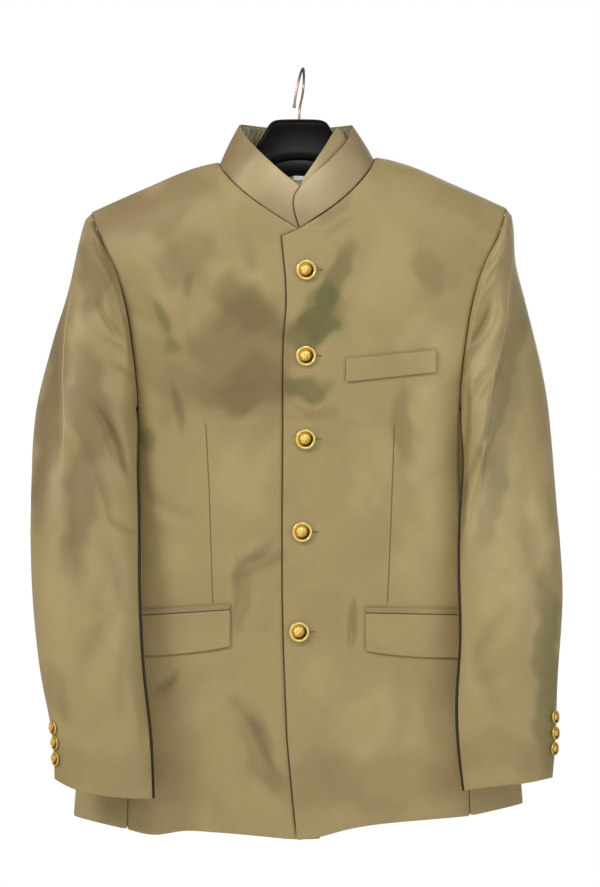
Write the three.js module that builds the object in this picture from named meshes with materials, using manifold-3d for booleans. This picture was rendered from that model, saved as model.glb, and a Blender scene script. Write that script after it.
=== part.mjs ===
// A bandhgala jacket hanging from its hanger. Sizes are in millimetres, +Z is up and the front faces -Y.
// The origin is the inside top of the hook, where a rail carries it. Left and right are the wearer's.
// "across" runs to the wearer's left from the jacket's centre line, "down" runs down from the origin.
import * as THREE from 'three';
import { mergeVertices } from 'three/addons/utils/BufferGeometryUtils.js';
import Module from 'manifold-3d';

const wasm = await Module();
wasm.setup();

// Driving sizes
const CENTRE_X = -4.7;
const CLOTH = 2;
const LINING = 1;
const SEAM = 0.3;
const CENTRE_SEAM = 0.24;
const NECK_GAP = 1.1;
const NECK_GAP_LAP = 2;
const LAP_LIFT = 2.8;
const LAP_START = -22;
const LAP_FLAT = 28;
const LAP_END = 62;
const SHOULDER_HALF = 230;
const SHOULDER_ROUND = 58;
const RIDGE_CLEAR = 0.002;
const RIGHT_SHOULDER_DROP = 4.5;
const UNDERARM_DOWN = 376;
const UNDERARM_DIP = 10;
const HEM_DOWN = 850;
const CUFF_DOWN = 790;
const BUTTON_STAND = 24;
const NECK_STEP = 15;
const ARMHOLE_ROWS = 9;
const ARMHOLE_EASE = 1.7;
const SIDE_ROWS = 11;
const SHOULDER_COLUMNS = 8;
const GUSSET_COLUMNS = 4;
const SLEEVE_ROWS = 17;
const SLEEVE_ROW_EASE = 1.25;
const SLEEVE_HEAD_ROWS = [0, 0.0015, 0.01];
const SLEEVE_FIT = 70;
const SLEEVE_CLEAR = { start: 3.8, growth: 0.2, most: 9 };
const SLEEVE_TRIM = { head: 2.7, below: 0.51, headRows: 4 };
const FOREARM_ANGLE = 20;
const HINDARM = ARMHOLE_ROWS + 1;
const CUFF_BUTTON_ANGLE = 162;
const LEFT = 1;
const RIGHT = -1;
const FRONT = -1;
const BACK = 1;

// Colours
const KHAKI = '#a18c64';
const KHAKI_DARK = '#8f7c56';
const BROCADE = '#969066';
const GOLD = '#e6be3c';
const BLACK = '#161612';
const STEEL = '#a8806a';
const LABEL_WHITE = '#ecebe4';

// The body's section at each height: half width, the y of its side fold, and its depth before and behind that
const BODY = [
  { down: 60, half: 266, side: 4, front: 42, back: 44 },
  { down: 160, half: 264, side: 4, front: 46, back: 50 },
  { down: 230, half: 250, side: 5, front: 51, back: 56 },
  { down: 300, half: 224, side: 7, front: 54, back: 60 },
  { down: 376, half: 186, side: 9, front: 54, back: 60 },
  { down: 450, half: 195, side: 12, front: 54, back: 56 },
  { down: 540, half: 213, side: 14, front: 54, back: 50 },
  { down: 650, half: 232, side: 14, front: 52, back: 46 },
  { down: 760, half: 245, side: 12, front: 49, back: 42 },
  { down: 860, half: 253, side: 10, front: 45, back: 40 },
];

// The shoulder line from the neck outwards
const SHOULDER = [
  { out: 0, down: 82 },
  { out: 45, down: 90 },
  { out: 87, down: 100 },
  { out: 128, down: 111 },
  { out: 156, down: 123 },
  { out: 198, down: 140.5 },
  { out: 230, down: 155 },
];

// Where each panel is cut at the side: the armhole, then the seam with the side panel
const FRONT_SIDE = [
  { down: 155, out: 230 },
  { down: 172, out: 225.8 },
  { down: 196, out: 216 },
  { down: 219, out: 203.3 },
  { down: 242, out: 196.5 },
  { down: 267, out: 189.5 },
  { down: 300, out: 184.5 },
  { down: 335, out: 180 },
  { down: 376, out: 177.5 },
  { down: 450, out: 178 },
  { down: 560, out: 181 },
  { down: 700, out: 186 },
  { down: 850, out: 190 },
];
const BACK_SIDE = [
  { down: 155, out: 230 },
  { down: 200, out: 219 },
  { down: 250, out: 207 },
  { down: 310, out: 196 },
  { down: 376, out: 184 },
  { down: 450, out: 187 },
  { down: 600, out: 195 },
  { down: 850, out: 204 },
];

// How far the hem rises at the side folds, and how sharply that rise ends above the hem
const HEM_CORNER_RISE = 12;
const HEM_CORNER_REACH = 5;

// The hem from the centre outwards
const HEM_LEFT = [
  { out: -2, down: 852.5 },
  { out: 23.5, down: 849.4 },
  { out: 45.6, down: 842.8 },
  { out: 81.6, down: 836.1 },
  { out: 151.5, down: 829.5 },
  { out: 190.5, down: 826 },
  { out: 225.5, down: 820.2 },
  { out: 251, down: 809 },
];
const HEM_RIGHT = [
  { out: -24, down: 851 },
  { out: 1.4, down: 852.2 },
  { out: 42.9, down: 848.3 },
  { out: 97, down: 843.9 },
  { out: 128.5, down: 842.5 },
  { out: 160.2, down: 847.8 },
  { out: 187.7, down: 841.5 },
  { out: 208.8, down: 836.1 },
  { out: 251.3, down: 825.6 },
];

// The free edge of the left front, which laps over the right one
const CLOSING = [
  { down: 185, across: -19.3 },
  { down: 203.5, across: -17 },
  { down: 229, across: -14.2 },
  { down: 257.3, across: -13 },
  { down: 305.3, across: -16.5 },
  { down: 364, across: -17.4 },
  { down: 540, across: -17.4 },
  { down: 684.6, across: -15.8 },
  { down: 786.4, across: -8.6 },
  { down: 852.5, across: -2 },
];

// The collar by its turn round the neck, from the end that lies under to the end that laps over it
const COLLAR = [
  { turn: -6, seam: 9, top: 8, topDown: 133, topY: -38 },
  { turn: 0, seam: 0, top: -0.8, topDown: 128, topY: -39 },
  { turn: 20, seam: -29, top: -19.6, topDown: 112.8, topY: -37 },
  { turn: 50, seam: -67, top: -48.6, topDown: 85.6, topY: -24 },
  { turn: 75, seam: -86, top: -63, topDown: 68, topY: -9 },
  { turn: 90, seam: -89, top: -66.6, topDown: 61.8, topY: 1 },
  { turn: 120, seam: -77, top: -61, topDown: 60, topY: 18 },
  { turn: 150, seam: -45, top: -36, topDown: 63, topY: 29 },
  { turn: 180, seam: 0, top: -2, topDown: 65, topY: 33 },
  { turn: 210, seam: 43, top: 33, topDown: 63, topY: 29 },
  { turn: 240, seam: 73, top: 55, topDown: 61, topY: 18 },
  { turn: 270, seam: 85, top: 60.3, topDown: 62.2, topY: 1 },
  { turn: 285, seam: 82, top: 57.3, topDown: 71.3, topY: -10 },
  { turn: 310, seam: 63, top: 46, topDown: 88, topY: -24 },
  { turn: 335, seam: 31, top: 22, topDown: 110.5, topY: -38 },
  { turn: 350, seam: 12, top: 7, topDown: 124, topY: -42 },
  { turn: 360, seam: 3, top: -3, topDown: 135, topY: -43 },
  { turn: 366, seam: 0.8, top: -6.2, topDown: 150, topY: -44 },
];
const NECK_FRONT = [
  { share: 0, down: 177 },
  { share: 0.2, down: 165.3 },
  { share: 0.44, down: 152 },
  { share: 0.73, down: 131.6 },
  { share: 0.9, down: 116 },
  { share: 0.96, down: 109 },
  { share: 1, down: 104 },
];
const NECK_BACK_DOWN = 108;

// The strip of cloth that shows inside the collar's lapped end
const INNER_BAND = [
  { turn: 352, top: 2, topDown: 125.4, behind: 8 },
  { turn: 335, top: 20.3, topDown: 101, behind: 6.4 },
  { turn: 318, top: 36.3, topDown: 81.2, behind: 8.5 },
  { turn: 300, top: 49.3, topDown: 64, behind: 7.8 },
  { turn: 293, top: 54, topDown: 66.5, behind: 7.8 },
];
const INNER_BAND_TURNS = [352, 343, 335, 326, 318, 309, 300, 293];
const INNER_BAND_FOOT = 0.55;

// The sleeves: outline seen from the front, depth before and behind the middle, and that middle's y
const SLEEVE_LEFT = [
  { down: 155, inner: 230, outer: 237, middle: 4, front: 10, back: 10 },
  { down: 172, inner: 226, outer: 239.4, middle: 4, front: 24, back: 22 },
  { down: 190, inner: 218, outer: 240.2, middle: 3, front: 31, back: 32 },
  { down: 210, inner: 208, outer: 239, middle: 2, front: 37, back: 38 },
  { down: 241, inner: 197, outer: 247.7, middle: 0, front: 42, back: 43 },
  { down: 284, inner: 187, outer: 257.8, middle: -2, front: 46, back: 46 },
  { down: 326, inner: 181, outer: 267.9, middle: -5, front: 49, back: 48 },
  { down: 366, inner: 179, outer: 275, middle: -10, front: 51, back: 50 },
  { down: 425, inner: 180, outer: 280, middle: -22, front: 51, back: 50 },
  { down: 504, inner: 174.5, outer: 285.7, middle: -42, front: 48, back: 48 },
  { down: 570, inner: 174, outer: 291.5, middle: -53, front: 44, back: 44 },
  { down: 628, inner: 175.8, outer: 288, middle: -60, front: 39, back: 39 },
  { down: 700, inner: 171, outer: 282.5, middle: -65, front: 33, back: 33 },
  { down: 756, inner: 173.6, outer: 283.2, middle: -66, front: 28, back: 28 },
  { down: 806, inner: 180, outer: 274, middle: -66, front: 25, back: 25 },
];
const SLEEVE_RIGHT = [
  { down: 159, inner: 230, outer: 238, middle: 4, front: 10, back: 10 },
  { down: 172, inner: 225.8, outer: 241.5, middle: 4, front: 22, back: 20 },
  { down: 190, inner: 218, outer: 245, middle: 3, front: 30, back: 31 },
  { down: 210, inner: 208, outer: 249, middle: 2, front: 37, back: 38 },
  { down: 241, inner: 196, outer: 253.5, middle: 0, front: 42, back: 43 },
  { down: 284, inner: 186.3, outer: 267.5, middle: -2, front: 46, back: 46 },
  { down: 326, inner: 180, outer: 278.5, middle: -5, front: 49, back: 48 },
  { down: 377, inner: 176.5, outer: 291.2, middle: -12, front: 51, back: 50 },
  { down: 440, inner: 175, outer: 294.3, middle: -26, front: 50, back: 50 },
  { down: 504, inner: 173, outer: 295.6, middle: -42, front: 48, back: 48 },
  { down: 564, inner: 173, outer: 294.5, middle: -52, front: 44, back: 44 },
  { down: 628, inner: 170.7, outer: 289.3, middle: -60, front: 39, back: 39 },
  { down: 686, inner: 166.3, outer: 281.5, middle: -64, front: 34, back: 34 },
  { down: 719, inner: 161.5, outer: 271, middle: -65, front: 31, back: 31 },
  { down: 760, inner: 158.8, outer: 269.3, middle: -66, front: 28, back: 28 },
  { down: 806, inner: 157, outer: 267.5, middle: -66, front: 25, back: 25 },
];

// Each sleeve's cuff edge, and the sharp ridge down from its head with the step behind that ridge
const CUFF_LEFT = [
  { out: 179, down: 797 },
  { out: 214.8, down: 791.7 },
  { out: 249.8, down: 788 },
  { out: 275, down: 782.5 },
];
const CUFF_RIGHT = [
  { out: 157.5, down: 805.4 },
  { out: 181.3, down: 805.4 },
  { out: 227.9, down: 800.1 },
  { out: 251.1, down: 793.3 },
  { out: 268.5, down: 783 },
];
const RIDGE_LEFT = [
  { down: 195, out: 239, step: 0 },
  { down: 240, out: 233.5, step: 10 },
  { down: 317, out: 222, step: 15 },
  { down: 366, out: 210, step: 14 },
  { down: 425, out: 205, step: 8 },
  { down: 490, out: 198, step: 0 },
];
const RIDGE_RIGHT = [
  { down: 225, out: 251, step: 0 },
  { down: 270, out: 256, step: 8 },
  { down: 340, out: 260.5, step: 12 },
  { down: 400, out: 260, step: 9 },
  { down: 460, out: 260.5, step: 0 },
];

// Soft folds as troughs from one place to another; a negative depth is a ridge
const FRONT_FOLDS = [
  { fromAcross: -48, fromDown: 540, toAcross: -62, toDown: 552, width: 16, depth: 2.5 },
  { fromAcross: -62, fromDown: 552, toAcross: -68, toDown: 588, width: 15, depth: 2 },
  { fromAcross: -76, fromDown: 690, toAcross: -50, toDown: 800, width: 22, depth: 4 },
  { fromAcross: -128, fromDown: 720, toAcross: -126, toDown: 840, width: 24, depth: 5 },
  { fromAcross: 106, fromDown: 690, toAcross: 104, toDown: 820, width: 22, depth: 4 },
  { fromAcross: -100, fromDown: 250, toAcross: -60, toDown: 360, width: 30, depth: 3 },
  { fromAcross: 60, fromDown: 230, toAcross: 40, toDown: 300, width: 28, depth: 3 },
  { fromAcross: -98, fromDown: 400, toAcross: -94, toDown: 580, width: 20, depth: 2.5 },
  { fromAcross: 104, fromDown: 400, toAcross: 99, toDown: 580, width: 20, depth: 2.5 },
];
const BACK_FOLDS = [
  { fromAcross: -60, fromDown: 170, toAcross: 70, toDown: 178, width: 20, depth: 4 },
  { fromAcross: -120, fromDown: 230, toAcross: -90, toDown: 400, width: 28, depth: 4 },
  { fromAcross: 125, fromDown: 240, toAcross: 92, toDown: 420, width: 26, depth: 5 },
  { fromAcross: -82, fromDown: 560, toAcross: -96, toDown: 800, width: 26, depth: 5 },
  { fromAcross: 70, fromDown: 600, toAcross: 90, toDown: 820, width: 28, depth: 5 },
  { fromAcross: -20, fromDown: 470, toAcross: 60, toDown: 486, width: 18, depth: 3 },
];
const SLEEVE_FOLDS_LEFT = [
  { fromAcross: 208, fromDown: 222, toAcross: 224, toDown: 198, width: 8, depth: 3 },
  { fromAcross: 190, fromDown: 310, toAcross: 214, toDown: 258, width: 10, depth: 6 },
  { fromAcross: 182, fromDown: 340, toAcross: 206, toDown: 290, width: 10, depth: 5 },
  { fromAcross: 180, fromDown: 545, toAcross: 210, toDown: 440, width: 14, depth: 6 },
  { fromAcross: 200, fromDown: 640, toAcross: 240, toDown: 690, width: 18, depth: 4 },
  { fromAcross: 240, fromDown: 500, toAcross: 262, toDown: 580, width: 20, depth: 5 },
];
const SLEEVE_FOLDS_RIGHT = [
  { fromAcross: -218, fromDown: 262, toAcross: -190, toDown: 312, width: 11, depth: 5 },
  { fromAcross: -214, fromDown: 334, toAcross: -179, toDown: 346, width: 10, depth: 5 },
  { fromAcross: -222, fromDown: 372, toAcross: -192, toDown: 440, width: 12, depth: 6 },
  { fromAcross: -240, fromDown: 414, toAcross: -186, toDown: 514, width: 14, depth: 5 },
  { fromAcross: -244, fromDown: 430, toAcross: -246, toDown: 560, width: 22, depth: 8 },
  { fromAcross: -210, fromDown: 600, toAcross: -240, toDown: 680, width: 20, depth: 4 },
];

// Pocket pieces, by their corners
const FLAP_LEFT = { inner: 74, outer: 206, topInner: 601.7, topOuter: 604.4, endInner: 643.5, endOuter: 652 };
const FLAP_RIGHT = { inner: -76, outer: -206, topInner: 598.3, topOuter: 606.5, endInner: 638.5, endOuter: 651 };
const WELT = { inner: 52.3, outer: 151.5, topInner: 321.1, topOuter: 310.8, endInner: 346.2, endOuter: 335.1 };
const JET_HEIGHT = 6;
const TRIM = 1.6;
const TRIM_LIFT = 0.8;
const COLLAR_BULGE = 1.5;
const LINING_BEHIND = 3.9;
const LINING_SHARES = [0.97, 0.65, 0.33, 0.02];
const LINING_DROPS = [12, 36, 62];
const LABEL = { half: 6.5, top: 114, end: 119, behind: 5.4, thick: 0.6 };

// Buttons, and the profiles that they are turned to: radius and height over the cloth
const FRONT_BUTTONS = [
  { across: 8.2, down: 222.7 },
  { across: 7.7, down: 317.4 },
  { across: 7.5, down: 409.2 },
  { across: 3.8, down: 511.9 },
  { across: 0.6, down: 622.4 },
];
const CUFF_BUTTONS = [
  { name: 'left_1', side: LEFT, down: 715.6, lift: 1.1 },
  { name: 'left_2', side: LEFT, down: 733.3, lift: 0.5 },
  { name: 'left_3', side: LEFT, down: 750.4, lift: -0.9 },
  { name: 'right_1', side: RIGHT, down: 727.1, lift: 2.1 },
  { name: 'right_2', side: RIGHT, down: 744.3, lift: 0.4 },
  { name: 'right_3', side: RIGHT, down: 761.6, lift: 0.1 },
];
const BUTTON_PROFILE = [
  [0, 0], [3, 0], [3, 1.2], [9.4, 1.8], [11, 3.2], [10.4, 4.6], [8.6, 4.6], [7.6, 3.4], [4.5, 4.8], [0, 5.6],
];
const CUFF_BUTTON_PROFILE = [
  [0, 0], [2, 0], [2, 1.2], [6.4, 1.6], [7.4, 2.8], [6.8, 3.8], [5.2, 3.2], [0, 4.6],
];

// The hanger: its sections outwards, with arms that lie just under the shoulders
const HANGER = [
  { out: 0, top: 56, front: 98, back: 113, wide: 17 },
  { out: 14, top: 56, front: 99, back: 114, wide: 17 },
  { out: 27, top: 56.6, front: 103, back: 116, wide: 17 },
  { out: 33, top: 61, front: 106, back: 118, wide: 17 },
  { out: 39, top: 71, front: 109, back: 120, wide: 17 },
  { out: 48, top: 86, front: 116, back: 122, wide: 17 },
  { out: 60, top: 99, front: 125, back: 127, wide: 17 },
  { out: 72, top: 108.5, front: 132, back: 132, wide: 17 },
  { out: 90, top: 114, front: 138, back: 138, wide: 17 },
];
const ARM = { start: 112, end: 208, steps: 6, under: 3.9, height: 25, wideStart: 19, wideEnd: 30 };
const HANGER_WALL = 3;
const CHANNEL_STEPS = 6;
const CHANNEL_ARCH = 0.8;
const HANGER_Y = 4;
const WIRE = 1.5;
const HOOK_ROUTE = [
  { x: -4.2, y: 4, down: 55.7 },
  { x: -4, y: 4.6, down: 46 },
  { x: -2.6, y: 9, down: 37 },
  { x: -1, y: 18, down: 30 },
  { x: 0.7, y: 24.6, down: 17 },
  { x: 1, y: 21, down: 6 },
  { x: 0.6, y: 11.5, down: -0.4 },
  { x: 0, y: 0, down: -1.5 },
  { x: -1.9, y: -12, down: 2.4 },
  { x: -4.6, y: -21.5, down: 12 },
  { x: -7.4, y: -24.4, down: 26 },
  { x: -9.6, y: -24, down: 40 },
];
const TIP_BALL = 3;

const { clamp, degToRad, lerp, smoothstep } = THREE.MathUtils;

/** A smooth function through one named column of a table. */
function column(rows, along, name) {
  const sorted = [...rows].sort((a, b) => a[along] - b[along]);
  const places = sorted.map((row) => row[along]);
  const spline = new THREE.CubicInterpolant(places, sorted.map((row) => row[name]), 1, [0]);
  return (place) => spline.evaluate(clamp(place, places[0], places[places.length - 1]))[0];
}

/** All named columns of a table as smooth functions. */
function columns(rows, along) {
  const names = Object.keys(rows[0]).filter((name) => name !== along);
  return Object.fromEntries(names.map((name) => [name, column(rows, along, name)]));
}

const body = columns(BODY, 'down');
const shoulder = column(SHOULDER, 'out', 'down');
const closing = column(CLOSING, 'down', 'across');
const collar = columns(COLLAR, 'turn');
const neckFront = column(NECK_FRONT, 'share', 'down');
const innerBand = columns(INNER_BAND, 'turn');
const sideCut = { [FRONT]: column(FRONT_SIDE, 'down', 'out'), [BACK]: column(BACK_SIDE, 'down', 'out') };
const hem = { [LEFT]: column(HEM_LEFT, 'out', 'down'), [RIGHT]: column(HEM_RIGHT, 'out', 'down') };
const sleeve = { [LEFT]: columns(SLEEVE_LEFT, 'down'), [RIGHT]: columns(SLEEVE_RIGHT, 'down') };
const cuff = { [LEFT]: column(CUFF_LEFT, 'out', 'down'), [RIGHT]: column(CUFF_RIGHT, 'out', 'down') };
const ridge = { [LEFT]: columns(RIDGE_LEFT, 'down'), [RIGHT]: columns(RIDGE_RIGHT, 'down') };
const sleeveFolds = { [LEFT]: SLEEVE_FOLDS_LEFT, [RIGHT]: SLEEVE_FOLDS_RIGHT };

const jacket = new THREE.Group();

/** Adds a named mesh of one solid, with a material of its own. */
function add(name, geometry, color, roughness, metalness) {
  const mesh = new THREE.Mesh(geometry, new THREE.MeshStandardMaterial({ color, roughness, metalness }));
  mesh.name = name;
  jacket.add(mesh);
  return mesh;
}

/** How deep the folds of a table press the cloth in at a place. */
function foldDepth(folds, across, down) {
  let depth = 0;
  for (const fold of folds) {
    const runAcross = fold.toAcross - fold.fromAcross;
    const runDown = fold.toDown - fold.fromDown;
    const share = (across - fold.fromAcross) * runAcross + (down - fold.fromDown) * runDown;
    const along = clamp(share / (runAcross ** 2 + runDown ** 2), 0, 1);
    const distance = Math.hypot(
      across - fold.fromAcross - along * runAcross,
      down - fold.fromDown - along * runDown,
    );
    depth += fold.depth * Math.exp(-((distance / fold.width) ** 2));
  }
  return depth;
}

/** The shoulder's ridge line, which is a little lower on the right. */
function ridgeDown(across) {
  const drop = RIGHT_SHOULDER_DROP * (1 - smoothstep(across, -80, 80));
  return shoulder(Math.abs(across)) + drop;
}

/** The y of the body's outer face, on its front or its back. */
function bodyY(across, down, face) {
  const share = Math.min(Math.abs(across) / body.half(down), 1);
  const round = Math.sqrt(1 - share * share) * (1 + share * share / 2);
  const rise = clamp((down - ridgeDown(across)) / SHOULDER_ROUND, 0, 1);
  const depth = face === FRONT ? body.front(down) : body.back(down);
  const fold = foldDepth(face === FRONT ? FRONT_FOLDS : BACK_FOLDS, across, down);
  return body.side(down) + face * round * (depth * Math.sqrt(1 - (1 - rise) ** 2) - fold);
}

/** A point on the body's outer face and its outward normal, moved out by lift. */
function bodySkin(across, down, face, lift = 0) {
  const probe = 0.05;
  const y = bodyY(across, down, face);
  const inward = across < 0 ? probe : -probe;
  const slopeAcross = (bodyY(across + inward, down, face) - y) / inward;
  const slopeDown = (bodyY(across, down + probe, face) - y) / probe;
  const normal = new THREE.Vector3(-slopeAcross, 1, slopeDown).normalize().multiplyScalar(face);
  const point = new THREE.Vector3(CENTRE_X + across, y, -down).addScaledVector(normal, lift);
  return { point, normal };
}

/** A closed wall from a grid of outer points with normals. */
function wall(grid, thickness) {
  const rows = grid.length;
  const wide = grid[0].length;
  const points = [];
  for (const inside of [0, thickness]) {
    for (const row of grid) {
      for (const { point, normal } of row) {
        points.push(...point.clone().addScaledVector(normal, -inside).toArray());
      }
    }
  }
  const faces = [];
  const at = (i, j, layer) => layer * rows * wide + j * wide + i;
  const quad = (a, b, c, d) => faces.push(a, b, c, a, c, d);
  for (let j = 0; j < rows - 1; j += 1) {
    for (let i = 0; i < wide - 1; i += 1) {
      quad(at(i, j, 0), at(i, j + 1, 0), at(i + 1, j + 1, 0), at(i + 1, j, 0));
      quad(at(i, j, 1), at(i + 1, j, 1), at(i + 1, j + 1, 1), at(i, j + 1, 1));
    }
  }
  for (let i = 0; i < wide - 1; i += 1) {
    quad(at(i, 0, 0), at(i + 1, 0, 0), at(i + 1, 0, 1), at(i, 0, 1));
    quad(at(i, rows - 1, 0), at(i, rows - 1, 1), at(i + 1, rows - 1, 1), at(i + 1, rows - 1, 0));
  }
  for (let j = 0; j < rows - 1; j += 1) {
    quad(at(0, j, 0), at(0, j, 1), at(0, j + 1, 1), at(0, j + 1, 0));
    quad(at(wide - 1, j, 0), at(wide - 1, j + 1, 0), at(wide - 1, j + 1, 1), at(wide - 1, j, 1));
  }
  return outward(points, faces);
}

/** A geometry from points and faces, turned so that its volume is positive. */
function outward(points, faces) {
  const geometry = new THREE.BufferGeometry();
  geometry.setAttribute('position', new THREE.Float32BufferAttribute(points, 3));
  const [a, b, c] = [new THREE.Vector3(), new THREE.Vector3(), new THREE.Vector3()];
  let volume = 0;
  for (let k = 0; k < faces.length; k += 3) {
    a.fromArray(points, faces[k] * 3);
    b.fromArray(points, faces[k + 1] * 3);
    c.fromArray(points, faces[k + 2] * 3);
    volume += a.dot(b.cross(c));
  }
  geometry.setIndex(volume < 0 ? faces.toReversed() : faces);
  return geometry;
}

/** Normals for a grid of points that bends round its own middle, pointing away from that middle. */
function withNormals(points) {
  const flat = points.flat();
  const middle = flat.reduce((sum, point) => sum.add(point), new THREE.Vector3()).divideScalar(flat.length);
  const grid = points.map((row, j) => row.map((point, i) => {
    const before = row[Math.max(i - 1, 0)];
    const after = row[Math.min(i + 1, row.length - 1)];
    const above = points[Math.max(j - 1, 0)][i];
    const below = points[Math.min(j + 1, points.length - 1)][i];
    return { point, normal: after.clone().sub(before).cross(below.clone().sub(above)).normalize() };
  }));
  const facing = grid.flat().reduce((sum, { point, normal }) => sum + normal.dot(point.clone().sub(middle)), 0);
  grid.flat().forEach(({ normal }) => normal.multiplyScalar(Math.sign(facing)));
  return grid;
}

/** A surface patch between four cut edges, each an array of { across, down }. */
function coons(top, bottom, near, far) {
  const wide = top.length - 1;
  const tall = near.length - 1;
  const span = (edge, name, k) => (edge[k][name] - edge[0][name]) / (edge.at(-1)[name] - edge[0][name]);
  return near.map((_, j) => top.map((__, i) => {
    const u = i === wide ? 1 : span(top, 'across', i);
    const v = j === tall ? 1 : span(far, 'down', j);
    const place = {};
    for (const name of ['across', 'down']) {
      const rails = (1 - v) * top[i][name] + v * bottom[i][name];
      const sides = (1 - u) * near[j][name] + u * far[j][name];
      const cornersTop = (1 - u) * top[0][name] + u * top[wide][name];
      const cornersEnd = (1 - u) * bottom[0][name] + u * bottom[wide][name];
      place[name] = rails + sides - (1 - v) * cornersTop - v * cornersEnd;
    }
    return place;
  }));
}

/** The collar seam on the body at a turn round the neck. */
function neckSeam(turn) {
  const across = collar.seam(turn);
  const back = turn > 90 && turn < 270;
  const neck = collar.seam(turn < 180 ? 90 : 270);
  const share = Math.min(Math.abs(across / neck), 1);
  const point = ridgeDown(neck) + 0.01;
  const down = back
    ? lerp(NECK_BACK_DOWN, point, smoothstep(share, 0.7, 1))
    : neckFront(share) + (point - neckFront(1)) * share ** 4;
  return { across, down, face: back ? BACK : FRONT };
}

/** The downs of a panel's side edge: the armhole's rows, then the side seam's. */
function sideDowns(side, face) {
  const start = ridgeDown(side * SHOULDER_HALF) + RIDGE_CLEAR;
  const downs = [];
  for (let row = 0; row <= ARMHOLE_ROWS; row += 1) {
    downs.push(lerp(start, UNDERARM_DOWN, (row / ARMHOLE_ROWS) ** ARMHOLE_EASE));
  }
  const end = hem[side](sideCut[face](HEM_DOWN));
  for (let row = 1; row <= SIDE_ROWS; row += 1) {
    downs.push(lerp(UNDERARM_DOWN, end, row / SIDE_ROWS));
  }
  return downs;
}

/** The side edge of a front or back panel, half a seam short of its neighbours. */
function sideEdge(side, face) {
  return sideDowns(side, face).map((down, row) => ({
    across: side * (sideCut[face](down) - (row === 0 ? SEAM : SEAM / 2)),
    down,
  }));
}

/** The top edge of a panel along its neckline and its shoulder seam. */
function topEdge(side, face) {
  const edge = [];
  const first = face === FRONT ? 0 : 180;
  for (let turn = 0; turn <= 90; turn += NECK_STEP) {
    const station = side === RIGHT ? Math.abs(first - turn) : (first === 0 ? 360 - turn : 180 + turn);
    const seam = neckSeam(station);
    const drop = face === FRONT && side === LEFT ? NECK_GAP_LAP : NECK_GAP;
    edge.push({ across: seam.across, down: turn === 90 ? ridgeDown(seam.across) + RIDGE_CLEAR : seam.down + drop });
  }
  const neck = edge.at(-1).across;
  for (let k = 1; k <= SHOULDER_COLUMNS; k += 1) {
    const across = lerp(neck, side * (SHOULDER_HALF - SEAM), k / SHOULDER_COLUMNS);
    edge.push({ across, down: ridgeDown(across) + RIDGE_CLEAR });
  }
  return edge;
}

/** How far the left front stands off the right one near the closing. */
function lapLift(across) {
  return LAP_LIFT * (1 - smoothstep(across, LAP_FLAT, LAP_END));
}

/** A point of the left or right front's outer face, with lift over it. */
function frontSkin(across, down, lift = 0) {
  const lap = across > LAP_START ? lapLift(across) : 0;
  return bodySkin(across, down, FRONT, lap + lift);
}

/** One front or back panel, from its cut edges. */
function panel(side, face) {
  const top = topEdge(side, face);
  const far = sideEdge(side, face);
  const isLap = face === FRONT && side === LEFT;
  if (face === FRONT) {
    top[0].across = 0;
    top.unshift(isLap ? { across: -19.3, down: 185 } : { across: BUTTON_STAND, down: 183 });
  } else {
    top[0].across = side * CENTRE_SEAM;
  }
  const share = (k) => (top[k].across - top[0].across) / (top.at(-1).across - top[0].across);
  const hemNear = isLap ? -2 : (face === FRONT ? BUTTON_STAND : side * CENTRE_SEAM);
  const bottom = top.map((_, k) => {
    const across = lerp(hemNear, far.at(-1).across, share(k));
    return { across, down: hem[side](side * across) };
  });
  const near = far.map(({ down }) => {
    const v = (down - far[0].down) / (far.at(-1).down - far[0].down);
    const nearDown = lerp(top[0].down, bottom[0].down, v);
    return { across: isLap ? closing(nearDown) : lerp(top[0].across, bottom[0].across, v), down: nearDown };
  });
  near[0] = top[0];
  near[near.length - 1] = bottom[0];
  far[0] = top.at(-1);
  bottom[bottom.length - 1] = far.at(-1);
  const cut = coons(top, bottom, near, far);
  return wall(cut.map((row) => row.map(({ across, down }) => (
    bodySkin(across, down, face, isLap ? lapLift(across) : 0)
  ))), CLOTH);
}

/** The edge points of the side panel at a row: round the fold from the front seam to the back seam. */
function sideRow(side, row) {
  const frontDown = sideDowns(side, FRONT)[ARMHOLE_ROWS + row];
  const backDown = sideDowns(side, BACK)[ARMHOLE_ROWS + row];
  const start = Math.asin((sideCut[FRONT](frontDown) + SEAM / 2) / body.half(frontDown));
  const end = Math.PI - Math.asin((sideCut[BACK](backDown) + SEAM / 2) / body.half(backDown));
  const points = [];
  for (let k = 0; k <= GUSSET_COLUMNS; k += 1) {
    const share = k / GUSSET_COLUMNS;
    const turn = lerp(start, end, share);
    const dip = UNDERARM_DIP * Math.sin(Math.PI * share) * (1 - row / SIDE_ROWS);
    const rise = HEM_CORNER_RISE * Math.sin(Math.PI * share) * (row / SIDE_ROWS) ** HEM_CORNER_REACH;
    const down = lerp(frontDown, backDown, share) + dip - rise;
    const across = side * body.half(down) * Math.min(Math.sin(turn), 0.99999);
    points.push(bodySkin(across, down, turn < Math.PI / 2 ? FRONT : BACK));
  }
  return points;
}

/** The narrow panel under the arm. */
function sidePanel(side) {
  const grid = [];
  for (let row = 0; row <= SIDE_ROWS; row += 1) {
    grid.push(sideRow(side, row));
  }
  return wall(grid, CLOTH);
}

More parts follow.
